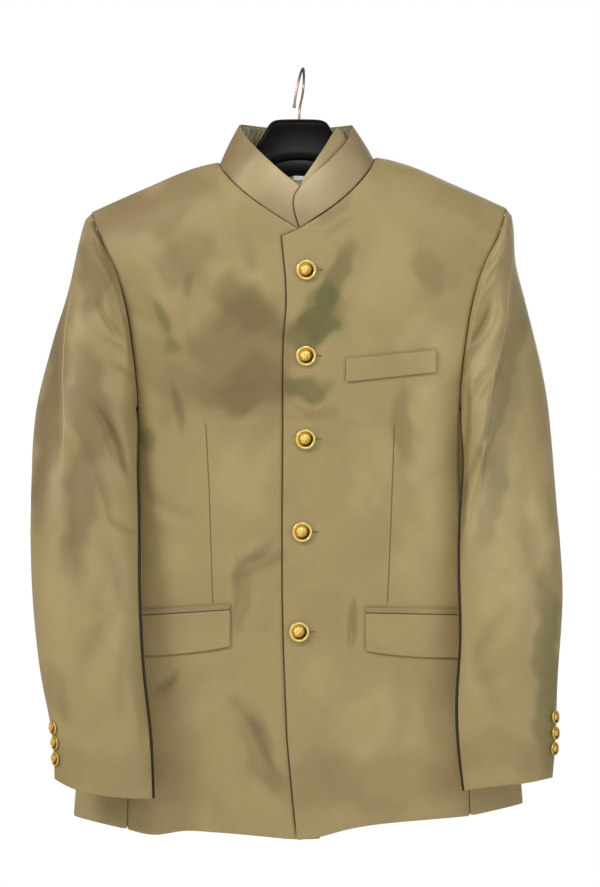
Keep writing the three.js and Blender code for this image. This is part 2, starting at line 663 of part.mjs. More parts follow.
/** The armhole's stations: the point where each column of the sleeve starts, and its angle round it. */
function armholeStations(side) {
  const angle = (row) => 180 - (180 - FOREARM_ANGLE) * row / ARMHOLE_ROWS;
  const stations = [];
  for (let row = ARMHOLE_ROWS; row >= 0; row -= 1) {
    const down = sideDowns(side, FRONT)[row];
    stations.push({ angle: angle(row), ...bodySkin(side * sideCut[FRONT](down), down, FRONT) });
  }
  for (let row = 1; row <= ARMHOLE_ROWS; row += 1) {
    const down = sideDowns(side, BACK)[row];
    stations.push({ angle: 360 - angle(row), ...bodySkin(side * sideCut[BACK](down), down, BACK) });
  }
  sideRow(side, 0).slice(1, -1).reverse().forEach((place, k) => {
    const share = (k + 1) / GUSSET_COLUMNS;
    stations.push({ angle: 360 - FOREARM_ANGLE + 2 * FOREARM_ANGLE * share, ...place });
  });
  stations.push({ ...stations[0], angle: stations[0].angle + 360 });
  return stations;
}

/** Where a column of the sleeve runs on the sleeve's section at a height. */
function sectionAngle(side, angle, down) {
  if (angle < FOREARM_ANGLE || angle > 360 - FOREARM_ANGLE || down >= UNDERARM_DOWN) {
    return angle;
  }
  const start = sideDowns(side, FRONT)[0];
  const passed = clamp((down - start) / (UNDERARM_DOWN - start), 0, 1) ** (1 / ARMHOLE_EASE);
  const edge = 180 - (180 - FOREARM_ANGLE) * passed;
  const from = FOREARM_ANGLE * passed;
  const half = Math.min(angle, 360 - angle);
  const turned = edge >= 179.9 ? 180 : lerp(from, 180, clamp((half - edge) / (180 - edge), 0, 1));
  return angle <= 180 ? turned : 360 - turned;
}

/** A point on the sleeve's section, before it is fitted to the armhole and clear of the body. */
function sleeveSection(side, angle, down) {
  const form = sleeve[side];
  const turn = degToRad(sectionAngle(side, angle, down));
  const headStart = sideDowns(side, FRONT)[0];
  const head = clamp((down - headStart) / 6, 0, 1);
  const outer = lerp(form.inner(down), form.outer(down), Math.sqrt(1 - (1 - head) ** 2));
  const middle = (outer + form.inner(down)) / 2;
  const out = middle - (outer - form.inner(down)) / 2 * Math.cos(turn);
  const depth = Math.sin(turn) > 0 ? form.front(down) : form.back(down);
  const flank = Math.abs(Math.sin(turn)) ** 0.9;
  let y = form.middle(down) - Math.sign(Math.sin(turn)) * depth * flank;
  const fold = foldDepth(sleeveFolds[side], side * out, down) * flank;
  y += Math.sin(turn) > 0 ? fold : -fold;
  if (Math.sin(turn) > 0) {
    const past = out - ridge[side].out(down);
    y += Math.max(ridge[side].step(down), 0) * (smoothstep(past, -1, 13) - 0.3 * Math.exp(-((past / 9) ** 2)));
  }
  return new THREE.Vector3(CENTRE_X + side * out, y, -down);
}

/** Moves a sleeve point off the body's side, forwards or outwards, whichever is nearer. */
function clearOfBody(point, side, clearance) {
  const out = side * (point.x - CENTRE_X);
  const down = -point.z;
  const half = body.half(down);
  const on = Math.min(out, half * 0.999);
  const limit = bodyY(side * on, down, FRONT) + 1.6 * Math.max(out - half, 0) - clearance;
  const depth = point.y < body.side(down) ? body.front(down) : body.back(down);
  const flat = clamp(Math.abs(point.y - body.side(down)) / depth, 0, 1);
  const edge = half * Math.sqrt(1 - flat * flat) ** 0.5 + clearance;
  if (point.y > limit && out < edge) {
    if (edge - out < point.y - limit) {
      point.x = CENTRE_X + side * edge;
    } else {
      point.y = limit;
    }
  }
  return point;
}

/** The rows of a sleeve, as a share of each column's length. */
function sleeveShare(row) {
  const last = SLEEVE_HEAD_ROWS.length - 1;
  if (row <= last) {
    return SLEEVE_HEAD_ROWS[row];
  }
  return lerp(SLEEVE_HEAD_ROWS[last], 1, ((row - last) / (SLEEVE_ROWS - last)) ** SLEEVE_ROW_EASE);
}

/** One column of a sleeve, from its armhole station to the cuff. */
function sleeveColumn(side, station) {
  const startDown = -station.point.z;
  const foot = sleeveSection(side, station.angle, CUFF_DOWN);
  const endDown = cuff[side](side * (foot.x - CENTRE_X));
  const fit = station.point.clone().sub(sleeveSection(side, station.angle, startDown));
  const points = [];
  for (let row = 0; row <= SLEEVE_ROWS; row += 1) {
    const down = lerp(startDown, endDown, sleeveShare(row));
    const along = down - startDown;
    const point = sleeveSection(side, station.angle, down);
    point.addScaledVector(fit, 1 - smoothstep(along, 0, SLEEVE_FIT));
    point.x += side * SEAM * (2.4 - 1.6 * smoothstep(along, 0, 50));
    if (down > UNDERARM_DOWN - 6 && row > 0) {
      clearOfBody(point, side, Math.min(SLEEVE_CLEAR.start + SLEEVE_CLEAR.growth * along, SLEEVE_CLEAR.most));
    }
    points.push(point);
  }
  return points;
}

/** The whole sleeve as a grid, whose first and last columns are the forearm seam. */
function sleeveGrid(side) {
  const lines = armholeStations(side).map((station) => sleeveColumn(side, station));
  const closed = [lines.at(-2), ...lines, lines[1]];
  const grid = withNormals(lines[0].map((_, row) => closed.map((line) => line[row])));
  return grid.map((row) => row.slice(1, -1));
}

/** A point on the sleeve's outer face below the armhole, with its normal. */
function sleeveSkin(side, angle, down) {
  const point = sleeveSection(side, angle, down);
  const round = sleeveSection(side, angle + 1, down).sub(point);
  const along = sleeveSection(side, angle, down + 1).sub(point);
  const normal = round.cross(along).multiplyScalar(-side).normalize();
  return { point, normal };
}

/** The wall of some columns of a sleeve, half a seam short at both of its long edges. */
function sleeveWall(grid, from, to) {
  return wall(grid.map((whole, level) => {
    const row = whole.slice(from, to + 1);
    const trimmed = level < SLEEVE_TRIM.headRows ? SLEEVE_TRIM.head : SLEEVE_TRIM.below;
    for (const [edge, next] of [[0, 1], [row.length - 1, row.length - 2]]) {
      const inward = row[next].point.clone().sub(row[edge].point).setLength(trimmed);
      row[edge] = { ...row[edge], point: row[edge].point.clone().add(inward) };
    }
    return row;
  }), CLOTH);
}

/** A point on the collar's outer face: turn round the neck and share of its height. */
function collarPoint(turn, share) {
  const seam = neckSeam(turn);
  const over = turn > 300 ? lapLift(seam.across) : 0;
  const foot = bodySkin(seam.across, seam.down, seam.face, over).point;
  const top = new THREE.Vector3(CENTRE_X + collar.top(turn), collar.topY(turn), -collar.topDown(turn));
  const bulge = COLLAR_BULGE * Math.sin(Math.PI * share);
  const point = foot.lerp(top, share);
  const out = new THREE.Vector3(point.x - CENTRE_X, point.y * 1.5, 0).normalize();
  return point.addScaledVector(out, bulge);
}

/** The turns at which the collar has a station. */
function collarTurns() {
  const turns = [-6];
  for (let turn = 0; turn <= 360; turn += NECK_STEP) {
    turns.push(turn);
  }
  return [...turns, 366];
}

/** The stand collar, one band whose left end laps over its right end. */
function collarBand() {
  const shares = [0, 0.33, 0.67, 1];
  const rows = shares.map((share) => collarTurns().map((turn) => collarPoint(turn, share)));
  return wall(withNormals(rows), CLOTH);
}

/** The band inside the collar's lapped end. */
function innerBandWall() {
  const rows = [0, 0.5, 1].map((share) => INNER_BAND_TURNS.map((turn) => {
    const edge = collarPoint(turn, 1);
    const behind = innerBand.behind(turn);
    const inward = new THREE.Vector3(-(edge.x - CENTRE_X), -edge.y * 2, 0).setLength(behind);
    const top = new THREE.Vector3(CENTRE_X + innerBand.top(turn), edge.y, -innerBand.topDown(turn)).add(inward);
    const foot = collarPoint(turn, INNER_BAND_FOOT).add(inward);
    return top.lerp(foot, share);
  }));
  return wall(withNormals(rows), CLOTH);
}

/** The lining inside the back of the collar and the back of the neck. */
function liningWall() {
  const turns = [];
  for (let turn = 105; turn <= 255; turn += NECK_STEP) {
    turns.push(turn);
  }
  const rows = LINING_SHARES.map((share) => withNormals([
    turns.map((turn) => collarPoint(turn, share)),
    turns.map((turn) => collarPoint(turn, share + 0.1)),
  ])[0].map(({ point, normal }) => point.clone().addScaledVector(normal, -LINING_BEHIND)));
  for (const drop of LINING_DROPS) {
    rows.push(turns.map((turn) => {
      const seam = neckSeam(turn);
      return bodySkin(seam.across * (1 - drop / 400), seam.down + drop, BACK, -LINING_BEHIND).point;
    }));
  }
  return wall(withNormals(rows), LINING);
}

/** A flat trim piece that lies on the front, between four corners. */
function trim({ inner, outer, topInner, topOuter, endInner, endOuter }, wide, tall, round = 0) {
  const grid = [];
  for (let j = 0; j <= tall; j += 1) {
    const row = [];
    for (let i = 0; i <= wide; i += 1) {
      const u = i / wide;
      const top = lerp(topInner, topOuter, u);
      const end = lerp(endInner, endOuter, u) + round * Math.sin(Math.PI * Math.min(u * 1.2, 1)) ** 0.7;
      row.push(frontSkin(lerp(inner, outer, u), lerp(top, end, j / tall), TRIM_LIFT + TRIM));
    }
    grid.push(row);
  }
  return wall(grid, TRIM);
}

/** The jet that closes the pocket's mouth, just above its flap. */
function jet(flap) {
  return trim({
    ...flap,
    topInner: flap.topInner - SEAM - JET_HEIGHT,
    topOuter: flap.topOuter - SEAM - JET_HEIGHT,
    endInner: flap.topInner - SEAM,
    endOuter: flap.topOuter - SEAM,
  }, 8, 1);
}

/** A turned button that stands on the cloth at a point. */
function button(profile, { point, normal }, segments, lift = SEAM) {
  const outline = profile.map(([radius, height]) => new THREE.Vector2(radius, height));
  const geometry = new THREE.LatheGeometry(outline, segments);
  const upright = new THREE.Quaternion().setFromUnitVectors(new THREE.Vector3(0, 1, 0), normal);
  geometry.applyQuaternion(upright);
  geometry.translate(...point.clone().addScaledVector(normal, lift).toArray());
  geometry.deleteAttribute('normal');
  geometry.deleteAttribute('uv');
  return mergeVertices(geometry);
}

/** The small label at the back of the neck, on the lining. */
function labelWall() {
  const rows = [LABEL.top, LABEL.end].map((down) => (
    [-LABEL.half, 0, LABEL.half].map((across) => bodySkin(across, down, BACK, -LABEL.behind))
  ));
  return wall(rows, LABEL.thick);
}

/** One section of the hanger's channel, open below, as [y, z] pairs. */
function channel({ top, front, back, wide }) {
  const outline = [];
  for (const [inset, order] of [[0, 1], [HANGER_WALL, -1]]) {
    const half = wide / 2 - inset;
    const arch = [[-half, -front]];
    for (let k = 0; k <= CHANNEL_STEPS; k += 1) {
      const turn = Math.PI * k / CHANNEL_STEPS;
      const height = Math.sin(turn) ** 0.9 * half * CHANNEL_ARCH;
      arch.push([-half * Math.cos(turn), height - top - inset - half * CHANNEL_ARCH]);
    }
    arch.push([half, -back]);
    outline.push(...(order > 0 ? arch : arch.reverse()));
  }
  return outline.map(([y, z]) => [y + HANGER_Y, z]);
}

/** The hanger's sections from its right end to its left end. */
function hangerSections() {
  const sections = [];
  for (const side of [RIGHT, LEFT]) {
    const half = HANGER.map((row) => ({ ...row, across: side * row.out }));
    for (let k = 0; k <= ARM.steps; k += 1) {
      const out = lerp(ARM.start, ARM.end, k / ARM.steps);
      const top = ridgeDown(side * out) + ARM.under;
      const low = top + ARM.height;
      const wide = lerp(ARM.wideStart, ARM.wideEnd, k / ARM.steps);
      half.push({ across: side * out, top, front: low, back: low, wide });
    }
    sections.push(...(side === RIGHT ? half.slice(1).reverse() : half));
  }
  return sections;
}

/** A solid through sections of [y, z] pairs, each at its own x. */
function loft(sections, placeX) {
  const points = [];
  const faces = [];
  const count = sections[0].length;
  sections.forEach((section, s) => {
    section.forEach(([y, z]) => points.push(placeX(s), y, z));
  });
  for (let s = 0; s < sections.length - 1; s += 1) {
    for (let k = 0; k < count; k += 1) {
      const next = (k + 1) % count;
      const [a, b] = [s * count + k, s * count + next];
      faces.push(a, b, b + count, a, b + count, a + count);
    }
  }
  for (const [s, order] of [[0, 1], [sections.length - 1, -1]]) {
    const shape = sections[s].map(([y, z]) => new THREE.Vector2(y, z));
    for (const face of THREE.ShapeUtils.triangulateShape(shape, [])) {
      const turned = order > 0 ? face : [face[0], face[2], face[1]];
      faces.push(...turned.map((k) => s * count + k));
    }
  }
  return outward(points, faces);
}

/** The hanger's moulded body. */
function hangerBody() {
  const rows = hangerSections();
  return loft(rows.map(channel), (s) => CENTRE_X + rows[s].across);
}

/** Turns a closed geometry into a solid that can be joined. */
function solid(geometry) {
  geometry.deleteAttribute('normal');
  geometry.deleteAttribute('uv');
  const merged = mergeVertices(geometry);
  return new wasm.Manifold(new wasm.Mesh({
    numProp: 3,
    vertProperties: new Float32Array(merged.attributes.position.array),
    triVerts: new Uint32Array(merged.index.array),
  }));
}

/** The wire hook with the ball at its tip. */
function hangerHook() {
  const route = HOOK_ROUTE.map(({ x, y, down }) => new THREE.Vector3(x, y, -down));
  const round = new THREE.Shape().absarc(0, 0, WIRE, 0, 2 * Math.PI, false);
  const wire = new THREE.ExtrudeGeometry(round, {
    steps: 34,
    curveSegments: 4,
    bevelEnabled: false,
    extrudePath: new THREE.CatmullRomCurve3(route, false, 'centripetal'),
  });
  const tip = route.at(-1);
  const ball = new THREE.SphereGeometry(TIP_BALL, 10, 7);
  ball.translate(tip.x, tip.y, tip.z - TIP_BALL / 2);
  const mesh = solid(wire).add(solid(ball)).getMesh();
  return outward(Array.from(mesh.vertProperties), Array.from(mesh.triVerts));
}

// The cloth panels
for (const [word, side] of [['left', LEFT], ['right', RIGHT]]) {
  add(`front_${word}`, panel(side, FRONT), KHAKI, 0.8, 0);
  add(`side_${word}`, sidePanel(side), KHAKI, 0.8, 0);
  add(`back_${word}`, panel(side, BACK), KHAKI, 0.8, 0);
  const sleeveCloth = sleeveGrid(side);
  add(`top_sleeve_${word}`, sleeveWall(sleeveCloth, 0, HINDARM), KHAKI, 0.8, 0);
  add(`under_sleeve_${word}`, sleeveWall(sleeveCloth, HINDARM, sleeveCloth[0].length - 1), KHAKI, 0.8, 0);
  const flap = side === LEFT ? FLAP_LEFT : FLAP_RIGHT;
  add(`flap_${word}`, trim(flap, 8, 3, 3), KHAKI, 0.8, 0);
  add(`jet_${word}`, jet(flap), KHAKI_DARK, 0.8, 0);
}

// The neck and the breast pocket
add('collar', collarBand(), KHAKI, 0.8, 0);
add('collar_inner_band', innerBandWall(), KHAKI_DARK, 0.8, 0);
add('neck_lining', liningWall(), BROCADE, 0.45, 0);
add('welt_breast', trim(WELT, 6, 2), KHAKI, 0.8, 0);
add('label', labelWall(), LABEL_WHITE, 0.7, 0);

// The hanger
add('hanger_body', hangerBody(), BLACK, 0.35, 0);
add('hanger_hook', hangerHook(), STEEL, 0.3, 1);

// The front buttons
FRONT_BUTTONS.forEach(({ across, down }, k) => {
  add(`button_front_${k + 1}`, button(BUTTON_PROFILE, frontSkin(across, down, 0.3), 16), GOLD, 0.3, 1);
});

// The cuff buttons, beside the vent at each sleeve's outer edge
for (const { name, side, down, lift } of CUFF_BUTTONS) {
  const place = sleeveSkin(side, CUFF_BUTTON_ANGLE, down);
  add(`button_cuff_${name}`, button(CUFF_BUTTON_PROFILE, place, 12, lift), GOLD, 0.3, 1);
}

export default jacket;
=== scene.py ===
"""A bandhgala jacket on its hanger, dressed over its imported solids.

Tables are in millimetres: "across" runs to the wearer's left from the jacket's centre line, and "down" runs
down from the inside top of the hook. Meshes are in metres, +Z up, with the front facing -Y.
"""

import logging
import math
from dataclasses import dataclass
from enum import Enum
from typing import Callable, Optional, Sequence, Union

import bmesh
import bpy
import numpy as np
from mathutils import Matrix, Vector
from mathutils.bvhtree import BVHTree


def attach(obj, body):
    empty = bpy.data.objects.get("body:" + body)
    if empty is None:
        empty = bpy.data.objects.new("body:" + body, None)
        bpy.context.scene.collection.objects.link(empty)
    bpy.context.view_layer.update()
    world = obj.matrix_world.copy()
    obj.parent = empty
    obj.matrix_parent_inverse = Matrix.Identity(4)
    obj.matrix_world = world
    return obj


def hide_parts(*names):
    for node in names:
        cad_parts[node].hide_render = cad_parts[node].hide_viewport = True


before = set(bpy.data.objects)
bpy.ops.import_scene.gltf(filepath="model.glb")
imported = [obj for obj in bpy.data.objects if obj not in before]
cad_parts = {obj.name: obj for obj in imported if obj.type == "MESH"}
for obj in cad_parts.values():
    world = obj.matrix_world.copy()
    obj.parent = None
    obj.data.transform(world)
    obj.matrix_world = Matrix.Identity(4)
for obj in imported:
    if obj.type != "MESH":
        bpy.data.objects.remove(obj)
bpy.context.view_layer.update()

LOG = logging.getLogger("jacket")
MM = 0.001
CENTRE_X = -4.7
BODY_NAME = "root"
MERGE_DISTANCE = 1e-5
RIM_ANGLE = math.radians(60)
SEAM_REACH = 8.0
OUTER_EASE = 1.6
# Crease troughs take painted shade, and their raised lips painted light, growing with depth up to
# TROUGH_DEPTH.
TROUGH_DEPTH = 6.0
TROUGH_SHADE = 0.5
BACK_SHADE = 0.3
# Where an under sleeve's painted shadow lies: within this across of the centre, and this far in front of the
# sleeve's middle.
SLEEVE_INSIDE = 192
TUCK_DEPTH = 5
BODY_MIDDLE, BODY_ROUND = 10, 60
SLEEVE_ACROSS, SLEEVE_ROUND = 226, 50
NECK_MIDDLE, NECK_ROUND = 2, 75
TAU = 2 * math.pi

Array = np.ndarray
Stations = tuple[tuple[float, float], ...]
Values = Optional[dict]


class Side(Enum):
    """The wearer's left or right."""

    LEFT = 1
    RIGHT = -1


# Node building


class Wire:
    """A node's output that can be used in Python expressions."""

    def __init__(self, graph: "Graph", socket: bpy.types.NodeSocket) -> None:
        """Wraps an output socket of a graph."""
        self.graph = graph
        self.socket = socket

    def __add__(self, other: "Operand") -> "Wire":
        """Adds a value or a wire."""
        return self.graph.math("ADD", self, other)

    def __sub__(self, other: "Operand") -> "Wire":
        """Subtracts a value or a wire."""
        return self.graph.math("SUBTRACT", self, other)

    def __rsub__(self, other: float) -> "Wire":
        """Subtracts this wire from a number."""
        return self.graph.math("SUBTRACT", other, self)

    def __mul__(self, other: "Operand") -> "Wire":
        """Multiplies by a value or a wire."""
        return self.graph.math("MULTIPLY", self, other)

    def __truediv__(self, other: "Operand") -> "Wire":
        """Divides by a value or a wire."""
        return self.graph.math("DIVIDE", self, other)

    __radd__ = __add__
    __rmul__ = __mul__


Operand = Union[Wire, float, int]
Color = Union[Wire, tuple]


class Graph:
    """A node tree, of a material, the world or Geometry Nodes."""

    def __init__(self, tree: bpy.types.NodeTree) -> None:
        """Takes up a tree and empties it."""
        self.tree = tree
        tree.nodes.clear()

    def node(self, kind: str, settings: Values = None, sockets: Values = None) -> bpy.types.Node:
        """Makes any node.

        Args:
            kind: the node's type.
            settings: attributes of the node, set first.
            sockets: values or wires for its inputs, by name or number.

        Returns:
            The new node.
        """
        made = self.tree.nodes.new(kind)
        for key, value in (settings or {}).items():
            setattr(made, key, value)
        for key, value in (sockets or {}).items():
            if isinstance(value, Wire):
                self.tree.links.new(value.socket, made.inputs[key])
            else:
                made.inputs[key].default_value = value
        return made

    def wire(self, kind: str, settings: Values = None, sockets: Values = None,
             output: Union[int, str] = 0) -> Wire:
        """Makes a node and gives one of its outputs, by name or number."""
        return Wire(self, self.node(kind, settings, sockets).outputs[output])

    def math(self, operation: str, *values: Operand) -> Wire:
        """One Math node on values or wires."""
        return self.wire("ShaderNodeMath", {"operation": operation}, dict(enumerate(values)))


class Paint(Graph):
    """The nodes of one material."""

    def __init__(self, name: str) -> None:
        """Starts an empty material.

        Args:
            name: the material's name.
        """
        self.material = bpy.data.materials.new(name)
        self.material.use_nodes = True
        super().__init__(self.material.node_tree)

    def mix(self, share: Operand, first: Color, second: Color) -> Wire:
        """Mixes two colours; the share is how much of the second one shows."""
        return self.wire("ShaderNodeMix", {"data_type": "RGBA"}, {0: share, 6: first, 7: second}, 2)

    def scaled(self, color: Color, factor: Wire) -> Wire:
        """Brightens or darkens a colour.

        Args:
            color: the colour.
            factor: a wire near one.

        Returns:
            The new colour.
        """
        grey = self.wire("ShaderNodeCombineColor", None, {0: factor, 1: factor, 2: factor})
        settings = {"data_type": "RGBA", "blend_type": "MULTIPLY"}
        return self.wire("ShaderNodeMix", settings, {0: 1.0, 6: color, 7: grey}, 2)

    def place(self) -> Wire:
        """The place on the piece, in metres."""
        return self.wire("ShaderNodeTexCoord", None, None, "Object")

    def attribute(self, name: str, output: str = "Vector") -> Wire:
        """A value stored on the piece's own points."""
        return self.wire("ShaderNodeAttribute", {"attribute_name": name}, None, output)

    def split(self, vector: Wire) -> tuple[Wire, Wire, Wire]:
        """The three parts of a vector."""
        parts = self.node("ShaderNodeSeparateXYZ", None, {0: vector})
        return tuple(Wire(self, parts.outputs[k]) for k in range(3))

    def noise(self, place: Wire, scale: float, detail: float = 2.0, rough: float = 0.5) -> Wire:
        """Soft noise from 0 to 1, with scale in cells a metre."""
        sockets = {"Vector": place, "Scale": scale, "Detail": detail, "Roughness": rough}
        return self.wire("ShaderNodeTexNoise", None, sockets)

    def ramp(self, value: Operand, low: float, high: float, start: float = 0.0, end: float = 1.0) -> Wire:
        """A smooth step of a value from low to high, given as start to end."""
        settings = {"interpolation_type": "SMOOTHSTEP", "clamp": True}
        return self.wire("ShaderNodeMapRange", settings, {0: value, 1: low, 2: high, 3: start, 4: end})

    def line(self, value: Operand, low: float, high: float, start: float, end: float) -> Wire:
        """A straight step of a value, held level past both ends."""
        return self.wire("ShaderNodeMapRange", {"clamp": True}, {0: value, 1: low, 2: high, 3: start, 4: end})

    def wave(self, value: Wire, length: float) -> Wire:
        """A sine of a value, from -1 to 1, with one wave in each length."""
        return self.math("SINE", value * (TAU / length))

    def bump(self, height: Wire, strength: float, distance: float, under: Optional[Wire] = None) -> Wire:
        """A bump from a height.

        Args:
            height: the height, about 0 to 1.
            strength: how strong it is.
            distance: the height of one, in metres.
            under: another bump that this one lies on.

        Returns:
            The normal.
        """
        sockets = {"Strength": strength, "Distance": distance, "Height": height}
        if under is not None:
            sockets["Normal"] = under
        return self.wire("ShaderNodeBump", None, sockets)

    def finish(self, sockets: dict) -> bpy.types.Material:
        """Ends the material in one Principled shader.

        Args:
            sockets: the shader's values and wires, by name.

        Returns:
            The material.
        """
        shader = self.wire("ShaderNodeBsdfPrincipled", None, sockets)
        self.node("ShaderNodeOutputMaterial", None, {"Surface": shader})
        return self.material


def srgb(red: float, green: float, blue: float) -> tuple[float, float, float, float]:
    """A colour as seen on a screen, from 0 to 255, made linear."""
    parts = [c / 255 for c in (red, green, blue)]
    return tuple(c / 12.92 if c <= 0.04045 else ((c + 0.055) / 1.055) ** 2.4 for c in parts) + (1.0,)


def fade(value: Array, start: float, width: float) -> Array:
    """How far each value has come past a start, from 0 to 1 over a width."""
    return np.clip((value - start) / width, 0, 1)


# Finishes


@dataclass(frozen=True)
class FineLine:
    """A fine line down the front of the cloth: painted shade along a dart or a lapped edge, or a painted
    highlight along a pressed ridge.
    """

    stations: Stations
    half: float = 0.9
    amount: float = 0.6
    painted_highlight: bool = False
    fade: float = 12.0
    end_fade: float = 1.0


class Shade(Enum):
    """The shades that the cloth turns to, in the order that they are stored. Brown and green are partly the
    cloth's own cast and partly painted shade; the dark shade is painted shade and the light shade is painted
    light.
    """

    BROWN = 0
    GREEN = 1
    DARK = 2
    LIGHT = 3


@dataclass(frozen=True)
class Tone:
    """A soft patch where the cloth turns another shade: its own cast, painted shade or painted light, as its
    Shade gives; its top leans towards larger across, in degrees.
    """

    across: float
    down: float
    wide: float
    tall: float
    lean: float
    shade: Shade
    amount: float

    def cover(self, across: Array, down: Array) -> Array:
        """How much of the shade each place takes, from 0 to the patch's amount, with an uneven edge.

        Args:
            across: the places' across.
            down: the places' down.

        Returns:
            The share at each place.
        """
        lean, loose = math.radians(self.lean), min(self.wide, 24) / 24
        swing = 6 * np.sin(down / 13 + across / 31) + 3 * np.sin(down / 5.3 - across / 9)
        sway = 7 * np.sin(across / 15 - down / 40) + 3 * np.sin(across / 6.1 + down / 11)
        right, below = across - self.across + swing * loose, down - self.down + sway * loose
        cross = (right * math.cos(lean) + below * math.sin(lean)) / self.wide
        along = (below * math.cos(lean) - right * math.sin(lean)) / self.tall
        held = fade(-np.hypot(cross, along), -1.36, 0.68)
        return self.amount * held * held * (3 - 2 * held)


# Lines of painted shade at the darts, the front's closing edge and the collar's lapped end; the ridges are
# painted highlights along the sleeves' pressed edges.
DARTS = (
    FineLine(((-103.0, 386.0), (-99.0, 464.5), (-97.1, 524.2), (-95.0, 591.2))),
    FineLine(((106.0, 389.3), (104.1, 444.6), (101.1, 524.2), (98.1, 591.2))),
)
CLOSING = FineLine((
    (0.4, 177), (-19.1, 184.7), (-16.9, 207.7), (-14.6, 231), (-13.8, 254), (-14.2, 268), (-15.5, 282),
    (-16.9, 296), (-17.6, 320), (-17.6, 400), (-18.3, 500), (-18.3, 576), (-16.9, 639), (-15.2, 681),
    (-13.1, 740.0), (-9.0, 785.0), (-4.8, 828.0), (-2.3, 853.0)), 1.15, 0.85, False, 1.0, 20.0)
LAP = FineLine((
    (57.3, 71.3), (47.5, 86.2), (31.4, 102.7), (15.3, 115.8), (1.8, 129.3), (-5.0, 139.2), (-6.2, 149.1),
    (-4.4, 160.1), (0.8, 176.2)), 1.2, 0.8, False, 3.0, 1.0)
RIDGES = (
    FineLine(((-250.8, 236), (-254, 259), (-258.2, 285), (-260, 307.5), (-261, 332), (-260.6, 357),
              (-259, 388), (-261, 455)), 0.9, 0.55, True, 20.0, 60.0),
    FineLine(((238.7, 203), (233.4, 235), (230, 278), (225.8, 299), (221.2, 319), (216.7, 334), (213, 357),
              (210, 387), (204, 425), (198.9, 476)), 0.9, 0.55, True, 16.0, 50.0),
)


